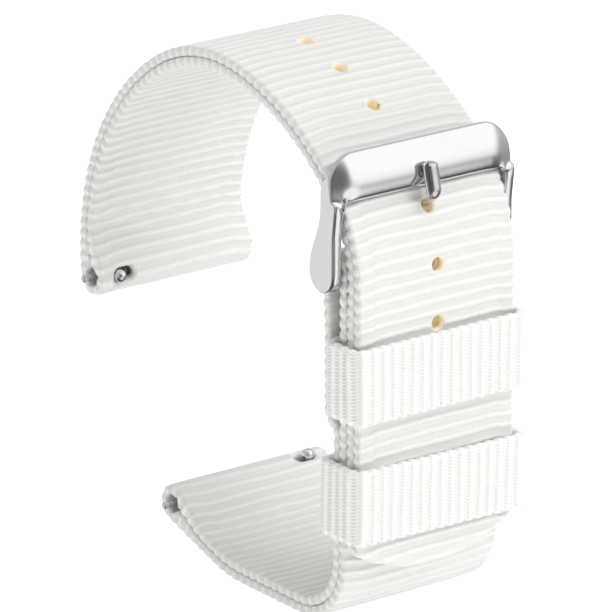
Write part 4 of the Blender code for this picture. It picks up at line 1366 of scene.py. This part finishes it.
def make_coil(name, centre, first, last, material):
    """A stretch of a spring: round wire wound about X, whose turns run on from one stretch to the next."""
    turns_per_metre = SPRING_TURNS / (2 * SPRING_REACH)
    climb = 1 / (2 * math.pi * turns_per_metre * SPRING_RADIUS)
    circle = round_points((0.0, 0.0), WIRE_RADIUS, 0.0, 360.0, 8)[:-1]
    rings = []
    for x in np.linspace(first, last, round((last - first) * turns_per_metre * 24) + 1):
        angle = 2 * math.pi * turns_per_metre * (x + SPRING_REACH)
        out = Vector((0.0, math.cos(angle), math.sin(angle)))
        forward = Vector((climb, -out.z, out.y)).normalized()
        middle = Vector((x, *centre)) + out * SPRING_RADIUS
        aside = forward.cross(out)
        rings.append([tuple(middle + out * a + aside * b) for a, b in circle])
    return finish_mesh(name, loft(rings), material, 60.0)


# Materials


def paint(colour, share=1.0):
    """A colour darkened to a share, with the alpha that sockets ask for."""
    return (*[c * share for c in colour], 1.0)


class Wire:
    """A shader number that arithmetic can be written with."""

    def __init__(self, recipe, socket):
        self.recipe = recipe
        self.socket = socket

    def __add__(self, other):
        return self.recipe.sum("ADD", self, other)

    def __radd__(self, other):
        return self.recipe.sum("ADD", other, self)

    def __sub__(self, other):
        return self.recipe.sum("SUBTRACT", self, other)

    def __rsub__(self, other):
        return self.recipe.sum("SUBTRACT", other, self)

    def __mul__(self, other):
        return self.recipe.sum("MULTIPLY", self, other)

    def __rmul__(self, other):
        return self.recipe.sum("MULTIPLY", other, self)

    def __pow__(self, other):
        return self.recipe.sum("POWER", self, other)


class Recipe:
    """A material's nodes, with one method that makes any of them."""

    def __init__(self, name):
        self.material = bpy.data.materials.new(name)
        self.material.use_nodes = True
        self.tree = self.material.node_tree
        self.tree.nodes.clear()
        self.output = self.node("ShaderNodeOutputMaterial")

    def node(self, kind, settings=None, **sockets):
        """A node of a kind: its settings first, then its sockets by name with _ for a space."""
        made = self.tree.nodes.new(kind)
        for key, value in (settings or {}).items():
            setattr(made, key, value)
        for key, value in sockets.items():
            self.feed(made.inputs[key.replace("_", " ")], value)
        return made

    def feed(self, socket, value):
        """Set a socket, or link it to what feeds it."""
        if isinstance(value, Wire):
            self.tree.links.new(value.socket, socket)
        elif isinstance(value, bpy.types.NodeSocket):
            self.tree.links.new(value, socket)
        else:
            socket.default_value = value

    def sum(self, operation, *terms):
        """One step of arithmetic."""
        made = self.node("ShaderNodeMath", {"operation": operation})
        for socket, term in zip(made.inputs, terms):
            self.feed(socket, term)
        return Wire(self, made.outputs[0])

    def noise(self, place, scale, detail=2.0):
        """Cloudy noise from 0 to 1."""
        made = self.node("ShaderNodeTexNoise", None, Vector=place, Scale=scale, Detail=detail)
        return Wire(self, made.outputs["Fac"])

    def mix(self, share, first, second, kind="MIX"):
        """Two colours mixed."""
        made = self.node("ShaderNodeMix", {"data_type": "RGBA", "blend_type": kind})
        self.feed(made.inputs[0], share)
        self.feed(made.inputs[6], first)
        self.feed(made.inputs[7], second)
        return made.outputs[2]

    def remap(self, value, low, high):
        """A value from a range brought to 0 to 1, smoothly."""
        smooth = {"interpolation_type": "SMOOTHSTEP"}
        made = self.node("ShaderNodeMapRange", smooth, Value=value, From_Min=low, From_Max=high)
        return Wire(self, made.outputs["Result"])

    def bump(self, height, strength, distance):
        """A bumped normal."""
        made = self.node("ShaderNodeBump", None, Height=height, Strength=strength, Distance=distance)
        return made.outputs["Normal"]

    def object_place(self):
        """The place on the piece, in metres."""
        return self.node("ShaderNodeTexCoord").outputs["Object"]

    def shade(self, **sockets):
        """The one shader, to the output."""
        shader = self.node("ShaderNodeBsdfPrincipled", None, **sockets)
        self.tree.links.new(shader.outputs[0], self.output.inputs["Surface"])
        return self.material


def nylon(name, colour, singe_colour, fine_share, groove_share, notch_share):
    """White ribbed nylon: fine yarns across the ribs, glossier crests, heat-sealed cut edges."""
    recipe = Recipe(name)
    weave = recipe.node("ShaderNodeUVMap", {"uv_map": "weave"}).outputs["UV"]
    place = recipe.object_place()
    parts = recipe.node("ShaderNodeSeparateXYZ", None, Vector=weave)
    yarn, rib = Wire(recipe, parts.outputs["X"]), Wire(recipe, parts.outputs["Y"])
    cloud = recipe.noise(place, 2600.0, 3.0)
    phase = recipe.sum("FRACT", rib)
    crest = 1.0 - recipe.sum("ABSOLUTE", phase - 0.5) * 2.0
    ridge = recipe.remap(crest, 0.54, 0.78)
    if notch_share:
        lean = yarn + (phase * 2.0 - 1.0) * NOTCH_LEAN
        notch = 0.5 + 0.5 * recipe.sum("COSINE", lean * (2 * math.pi))
        thread = 1.0 - notch
    else:
        odd = recipe.sum("MODULO", recipe.sum("FLOOR", rib), 2.0)
        thread = 0.5 + 0.5 * recipe.sum("SINE", (yarn + odd * 0.5 + (cloud - 0.5) * 0.5) * (2 * math.pi))
    fibres = recipe.noise(place, 14000.0)
    height = thread * (0.4 + 0.6 * ridge) + fibres * 0.25
    normal = recipe.bump(height, fine_share, YARN_RELIEF)
    hatched = recipe.mix(thread * 0.8, paint(colour, groove_share * 0.93), paint(colour, groove_share))
    base = recipe.mix(ridge * (0.55 + 0.45 * thread), hatched, paint(colour))
    if notch_share:
        low, high = (
            recipe.remap(NOTCH_REACH * 1.3 - recipe.sum("ABSOLUTE", phase - spot), 0.0, NOTCH_REACH)
            for spot in NOTCH_PLACES
        )
        bite = (low * NOTCH_LOW_SHARE + high) * notch**1.5 * notch_share
        base = recipe.mix(bite, base, paint(colour, 0.66))
    base = recipe.mix(recipe.noise(place, 160.0) * 0.5, base, paint((1.0, 0.995, 0.97)), "MULTIPLY")
    singe = Wire(recipe, recipe.node("ShaderNodeAttribute", {"attribute_name": "singe"}).outputs["Fac"])
    tint = recipe.remap(singe + (cloud - 0.5) * 0.35, 0.35, 0.95)
    patchy = recipe.mix(recipe.noise(place, 3000.0), paint(singe_colour), paint(singe_colour, 0.92))
    base = recipe.mix(tint, base, patchy)
    return recipe.shade(
        Base_Color=base,
        Roughness=0.60 - 0.24 * ridge + fibres * 0.08 - tint * 0.12,
        Normal=normal,
        Coat_Weight=ridge * thread * 0.30,
        Coat_Roughness=0.30,
        Sheen_Weight=0.12,
        Sheen_Roughness=0.45,
        Specular_IOR_Level=0.55,
        Emission_Color=recipe.mix(tint, paint(singe_colour, 0.0), paint(singe_colour)),
        Emission_Strength=0.12,
        Subsurface_Weight=0.30,
        Subsurface_Radius=(1.0, 1.0, 0.95),
        Subsurface_Scale=0.0005,
    )


def steel(name, colour, rough, grain, streak):
    """Steel: polished or drawn, with fine lines along one axis and faint smudges."""
    recipe = Recipe(name)
    place = recipe.object_place()
    turned = recipe.node("ShaderNodeMapping", None, Vector=place, Scale=streak).outputs["Vector"]
    lines = recipe.noise(turned, 900.0, 3.0)
    smudge = recipe.noise(place, 420.0)
    return recipe.shade(
        Base_Color=recipe.mix(smudge * 0.5 + lines * 0.3, paint(colour), paint(colour, 0.9)),
        Metallic=1.0,
        Roughness=rough + lines * (rough * 0.5) + smudge * (rough * 0.4),
        Normal=recipe.bump(lines + smudge * 0.4, grain, STEEL_RELIEF),
    )


# Settings


def length(name, description, default):
    """A length that a user can set."""
    return FloatProperty(name=name, description=description, default=default, unit="LENGTH", precision=5)


def colour(name, description, default):
    """A colour that a user can set."""
    return FloatVectorProperty(name=name, description=description, default=default, subtype="COLOR")


class StrapSizes(bpy.types.PropertyGroup):
    """Sizes of the weave and of the finish of the metal parts."""

    rib_pitch: length("Rib pitch", "Distance between the webbing's ribs", 0.00139)
    rib_height: length("Rib height", "Depth of the grooves between ribs", 0.00015)
    edge_height: length("Edge bumps", "Depth of the bumps along the webbing's edges", 0.00017)
    yarn_pitch: length("Yarn pitch", "Distance between the fine yarns that cross the ribs", 0.00026)
    keeper_rib_pitch: length("Keeper rib pitch", "Distance between a keeper's ribs", 0.001375)
    keeper_rib_height: length("Keeper rib height", "Depth of a keeper's grooves", 0.00016)
    keeper_yarn_pitch: length("Keeper yarn pitch", "Distance between a keeper's cross yarns", 0.00040)
    keeper_tooth_depth: length("Keeper tooth depth", "How deep a keeper's cross yarns bite", 0.00015)
    keeper_tilt: FloatProperty(
        name="Keeper tilt",
        description="How far the sliding keeper sits askew",
        default=math.radians(1.0),
        subtype="ANGLE",
    )
    end_bevel: length("End bevel", "Width of the soft bevel at the plate's ends", 0.00255)
    arm_rounding: length("Arm rounding", "Radius of the front edges of the arms", 0.00058)
    back_rounding: length("Back rounding", "Radius of the arms' back edges", 0.00030)
    hole_radius: length("Hole radius", "Radius of the heat-sealed adjustment holes", 0.00084)
    knob_opening: length("Knob opening", "Radius of the ends of the openings for the release knobs", 0.00092)
    plate_top_drop: length("Plate top drop", "How far the plate's top lies below the packed frame's", 0.00055)
    plate_top_rounding: length("Plate top rounding", "Radius of the plate's upper edge", 0.00035)
    plate_foot_reach: length("Plate foot reach", "Height of the rounding along the plate's foot", 0.0017)
    plate_foot_depth: length("Plate foot depth", "Depth of the rounding along the plate's foot", 0.00062)
    inner_corner: length("Inner corner", "Radius between the plate's foot and the arms", 0.00070)
    tongue_hollow: FloatProperty(
        name="Tongue hollow",
        description="How deep the tongue's rolled side opens, as a share of its half width",
        default=0.92,
        subtype="FACTOR",
    )


class StrapColours(bpy.types.PropertyGroup):
    """Colours of the strap and of the stage."""

    nylon: colour("Nylon", "Colour of the webbing", (0.93, 0.93, 0.912))
    singe: colour("Sealed edge", "Colour of the heat-sealed holes", (0.96, 0.84, 0.60))
    polished: colour("Polished steel", "Colour of the buckle", (0.78, 0.78, 0.79))
    turned: colour("Turned steel", "Colour of the sprung bars", (0.62, 0.62, 0.63))
    floor: colour("Floor", "Colour of the floor", (0.95, 0.95, 0.95))


def named_material(name, make, *facts):
    """A material by name, made on its first use."""
    return bpy.data.materials.get(name) or make(name, *facts)


def nylon_material(name, brightness, fine_share, groove_share, notch_share):
    """A nylon, a share brighter than its setting."""
    colours = bpy.context.scene.strap_colours
    tone = [c * brightness for c in colours.nylon]
    return named_material(name, nylon, tone, tuple(colours.singe), fine_share, groove_share, notch_share)


def strap_nylon():
    """The nylon of the two halves."""
    return nylon_material("ribbed_nylon", 1.0, 0.9, 0.86, 0.0)


def keeper_nylon():
    """The keepers' nylon, with cross yarns that bite into the ribs."""
    return nylon_material("keeper_nylon", 1.05, 0.8, 0.93, 0.6)


# Each steel's colour setting, brightness, roughness, grain and the stretch of its lines
STEELS = {
    "polished_steel": ("polished", 1.0, 0.09, 0.02, (1.0, 8.0, 8.0)),
    "tongue_steel": ("polished", 0.80, 0.12, 0.03, (1.0, 4.0, 4.0)),
    "turned_steel": ("turned", 1.0, 0.16, 0.06, (30.0, 1.0, 1.0)),
    "spring_wire": ("turned", 0.9, 0.22, 0.05, (6.0, 6.0, 6.0)),
}


def steel_named(name):
    """One of the steels."""
    setting, brightness, rough, grain, streak = STEELS[name]
    tone = [c * brightness for c in getattr(bpy.context.scene.strap_colours, setting)]
    return named_material(name, steel, tone, rough, grain, streak)


# Operators


class STRAP_OT_long_half(bpy.types.Operator):
    """Make the long half of the strap"""

    bl_idname = "strap.long_half"
    bl_label = "Long half"

    def execute(self, context):
        sizes = context.scene.strap_sizes
        attach(make_long_half(sizes, strap_nylon()), "strap", "webbing", "long_strap")
        return {"FINISHED"}


class STRAP_OT_short_half(bpy.types.Operator):
    """Make the short half of the strap"""

    bl_idname = "strap.short_half"
    bl_label = "Short half"

    def execute(self, context):
        sizes = context.scene.strap_sizes
        attach(make_short_half(sizes, strap_nylon()), "strap", "webbing", "short_strap")
        return {"FINISHED"}


class STRAP_OT_keepers(bpy.types.Operator):
    """Make the fixed keeper and the sliding keeper"""

    bl_idname = "strap.keepers"
    bl_label = "Keepers"

    def execute(self, context):
        sizes = context.scene.strap_sizes
        cloth = keeper_nylon()
        fixed_back = SHORT_FACE + LAYER + SEAT_GAP + KEEPER_LAYER
        fixed = make_keeper("fixed_loop", FIXED_KEEPER_HEIGHT, fixed_back, 0.0, sizes, cloth)
        attach(fixed, "strap", "webbing", "fixed_keeper")
        back = SHORT_FACE + THICKNESS + SEAT_GAP + KEEPER_LAYER
        loose = make_keeper("sliding_loop", FLOATING_KEEPER_HEIGHT, back, sizes.keeper_tilt, sizes, cloth)
        attach(loose, "floating_keeper", "webbing", "floating_keeper")
        return {"FINISHED"}


class STRAP_OT_buckle(bpy.types.Operator):
    """Make the buckle's frame and tongue"""

    bl_idname = "strap.buckle"
    bl_label = "Buckle"

    def execute(self, context):
        sizes = context.scene.strap_sizes
        body = make_buckle_frame(sizes, steel_named("polished_steel"))
        attach(body, "buckle", "buckle_steel", "buckle_frame")
        tongue = make_tongue(sizes, steel_named("tongue_steel"))
        attach(tongue, "tongue", "buckle_steel", "buckle_tongue")
        return {"FINISHED"}


class STRAP_OT_bars(bpy.types.Operator):
    """Make the bars' tips, knobs and springs, and finish their tubes"""

    bl_idname = "strap.bars"
    bl_label = "Sprung bars"

    def execute(self, context):
        metal, shiny, wire = (steel_named(name) for name in ("turned_steel", "polished_steel", "spring_wire"))
        for side, hand in (("left", -1), ("right", 1)):
            tip = make_tip("buckle_tip_end_" + side, BUCKLE_BAR, BUCKLE_TIP_END, hand, metal)
            attach(tip, "buckle_tip_" + side, "bar_steel", "buckle_bar_tip_" + side)
        ends = (("upper", UPPER_BAR, LONG[-1][3], 1, -1), ("lower", LOWER_BAR, SHORT[-1][3], -1, 1))
        for name, centre, heading, side, hand in ends:
            fixed = make_tip(name + "_fixed_end", centre, RELEASE_TIP_END, -hand, metal)
            attach(fixed, name + "_bar", "bar_steel", name + "_bar_fixed_tip")
            plunger = make_tip(name + "_sliding_end", centre, RELEASE_TIP_END, hand, metal)
            attach(plunger, name + "_release", "bar_steel", name + "_bar_plunger")
            knob = make_knob(name + "_ball_knob", centre, heading, side, hand, shiny)
            attach(knob, name + "_release", "bar_steel", name + "_bar_knob")
            spring = make_coil(name + "_coil", centre, -SPRING_REACH, SPRING_REACH, wire)
            attach(spring, name + "_bar", "spring_steel", name + "_bar_spring")
            shorten(spring, name + "_release_slide", (-hand * SPRING_REACH, *centre), RELEASE_TRAVEL)
        for side, first, last in (("left", -SPRING_REACH, 0.0), ("right", 0.0, SPRING_REACH)):
            spring = make_coil("buckle_coil_" + side, BUCKLE_BAR, first, last, wire)
            attach(spring, "buckle", "spring_steel", "buckle_bar_spring")
            shorten(spring, f"buckle_tip_{side}_slide", (0.0, *BUCKLE_BAR), BUCKLE_TIP_TRAVEL)
        for name in ("buckle", "upper", "lower"):
            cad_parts[name + "_bar_tube"].material_slots[0].material = metal
        return {"FINISHED"}


class STRAP_OT_stage(bpy.types.Operator):
    """Make the floor, the lights and the camera"""

    bl_idname = "strap.stage"
    bl_label = "Stage"

    def execute(self, context):
        make_floor(context)
        make_lights(context)
        make_camera(context)
        return {"FINISHED"}


def make_floor(context):
    """A wide pale floor."""
    shape = bmesh.new()
    bmesh.ops.create_grid(shape, x_segments=1, y_segments=1, size=4.0)
    recipe = Recipe("pale_floor")
    place = recipe.object_place()
    tone = context.scene.strap_colours.floor
    base = recipe.mix(recipe.noise(place, 3.0), paint(tone), paint(tone, 0.985))
    glow = recipe.shade(Base_Color=base, Roughness=0.7, Emission_Color=base, Emission_Strength=0.48)
    floor = finish_mesh("floor", shape, glow)
    floor.visible_glossy = False


# The studio's greys: low all round, then above the floor, and patches of it by azimuth, elevation,
# outer and inner radius in degrees, and grey
ROOM_GREY = 0.58
UNDER_GREY = 0.10
UNDER_RADII = (100.0, 48.0)
PATCHES = (
    (150.0, 55.0, 60.0, 25.0, 0.64),
    (-143.0, -22.0, 48.0, 23.0, 0.92),
    (8.0, -30.0, 38.0, 20.0, 1.15),
    (40.0, 36.0, 50.0, 24.0, 1.30),
    (-24.0, 14.0, 38.0, 14.0, 0.17),
)
# Each lamp's place, width and power
LAMPS = {
    "top_box": ((0.10, -0.20, 0.75), 0.60, 1.3),
    "key_box": ((0.42, -0.60, 0.62), 0.30, 1.53),
    "fill_box": ((-0.35, -0.55, 0.22), 0.40, 0.09),
}
LAMP_TARGET = Vector((0.0, 0.0, 0.03))


def view_way(azimuth, elevation):
    """The direction from the strap to a viewer at an azimuth and an elevation in degrees."""
    a, e = math.radians(azimuth), math.radians(elevation)
    return Vector((math.sin(a) * math.cos(e), -math.cos(a) * math.cos(e), math.sin(e)))


class Room:
    """The studio's world: greys mixed over its directions."""

    def __init__(self, name):
        self.world = bpy.data.worlds.new(name)
        self.world.use_nodes = True
        self.tree = self.world.node_tree
        self.tree.nodes.clear()
        self.way = self.tree.nodes.new("ShaderNodeTexCoord").outputs["Generated"]

    def toward(self, azimuth, elevation, outer, inner):
        """1 near a direction of the room, 0 away from it."""
        dot = self.tree.nodes.new("ShaderNodeVectorMath")
        dot.operation = "DOT_PRODUCT"
        self.tree.links.new(self.way, dot.inputs[0])
        dot.inputs[1].default_value = view_way(azimuth, elevation)
        spot = self.tree.nodes.new("ShaderNodeMapRange")
        spot.interpolation_type = "SMOOTHSTEP"
        self.tree.links.new(dot.outputs["Value"], spot.inputs["Value"])
        spot.inputs["From Min"].default_value = math.cos(math.radians(outer))
        spot.inputs["From Max"].default_value = math.cos(math.radians(inner))
        return spot.outputs["Result"]

    def patch(self, share, under, grey):
        """A colour with a grey laid over a share of it."""
        mix = self.tree.nodes.new("ShaderNodeMix")
        mix.data_type = "RGBA"
        self.tree.links.new(share, mix.inputs[0])
        self.tree.links.new(under, mix.inputs[6])
        mix.inputs[7].default_value = (grey, grey, grey, 1.0)
        return mix.outputs[2]

    def show(self, colour):
        """The room's colour, to the world's output."""
        background = self.tree.nodes.new("ShaderNodeBackground")
        self.tree.links.new(colour, background.inputs["Color"])
        output = self.tree.nodes.new("ShaderNodeOutputWorld")
        self.tree.links.new(background.outputs[0], output.inputs["Surface"])
        return self.world


def make_lights(context):
    """A soft studio room, dim below and beside the camera, with three lamps."""
    room = Room("studio")
    whole = room.tree.nodes.new("ShaderNodeRGB").outputs[0]
    whole.default_value = (ROOM_GREY, ROOM_GREY, ROOM_GREY, 1.0)
    tone = room.patch(room.toward(0.0, -90.0, *UNDER_RADII), whole, UNDER_GREY)
    for *where, grey in PATCHES:
        tone = room.patch(room.toward(*where), tone, grey)
    context.scene.world = room.show(tone)
    for name, (place, width, power) in LAMPS.items():
        lamp = bpy.data.lights.new(name, "AREA")
        lamp.size = width
        lamp.energy = power
        thing = bpy.data.objects.new(name, lamp)
        thing.location = place
        thing.rotation_euler = (LAMP_TARGET - Vector(place)).to_track_quat("-Z", "Y").to_euler()
        thing.visible_glossy = False
        context.scene.collection.objects.link(thing)
    context.scene.view_settings.view_transform = "Standard"


def make_camera(context):
    """The photograph's camera, panned so that the frame's lower left corner falls on its pixel."""
    back = view_way(CAMERA_AZIMUTH, CAMERA_ELEVATION)
    right = view_way(CAMERA_AZIMUTH + 90.0, 0.0)
    up = back.cross(right)
    depth = CAMERA_DISTANCE + (ANCHOR - CAMERA_TARGET).dot(-back)
    aside = (ANCHOR_PIXEL[0] - PICTURE_WIDTH / 2) / PICTURE_SCALE * depth
    above = (PICTURE_WIDTH / 2 - ANCHOR_PIXEL[1]) / PICTURE_SCALE * depth
    camera = bpy.data.cameras.new("photo_camera")
    camera.sensor_width = SENSOR_WIDTH
    camera.lens = SENSOR_WIDTH * PICTURE_SCALE / PICTURE_WIDTH
    camera.clip_start = 0.01
    camera.clip_end = 20.0
    thing = bpy.data.objects.new("photo_camera", camera)
    thing.location = ANCHOR + back * depth - right * aside - up * above
    thing.rotation_euler = (-back).to_track_quat("-Z", "Y").to_euler()
    context.scene.collection.objects.link(thing)
    context.scene.camera = thing


class STRAP_PT_panel(bpy.types.Panel):
    """The strap's pieces and settings."""

    bl_idname = "STRAP_PT_panel"
    bl_label = "Watch strap"
    bl_space_type = "VIEW_3D"
    bl_region_type = "UI"
    bl_category = "Watch strap"

    def draw(self, context):
        for operator in OPERATORS:
            self.layout.operator(operator.bl_idname)
        for group in (context.scene.strap_sizes, context.scene.strap_colours):
            for name in group.__annotations__:
                self.layout.prop(group, name)


OPERATORS = (
    STRAP_OT_stage,
    STRAP_OT_long_half,
    STRAP_OT_short_half,
    STRAP_OT_keepers,
    STRAP_OT_buckle,
    STRAP_OT_bars,
)
CLASSES = (StrapSizes, StrapColours) + OPERATORS + (STRAP_PT_panel,)


def register():
    """Add the classes and the settings to Blender."""
    for cls in CLASSES:
        bpy.utils.register_class(cls)
    bpy.types.Scene.strap_sizes = PointerProperty(type=StrapSizes)
    bpy.types.Scene.strap_colours = PointerProperty(type=StrapColours)


def unregister():
    """Take the classes and the settings out again."""
    del bpy.types.Scene.strap_sizes
    del bpy.types.Scene.strap_colours
    for cls in reversed(CLASSES):
        bpy.utils.unregister_class(cls)


def main():
    """Register the add-on, make every piece and note the two boxes."""
    register()
    for operator in OPERATORS:
        group, name = operator.bl_idname.split(".")
        getattr(getattr(bpy.ops, group), name)()


if __name__ == "__main__":
    main()
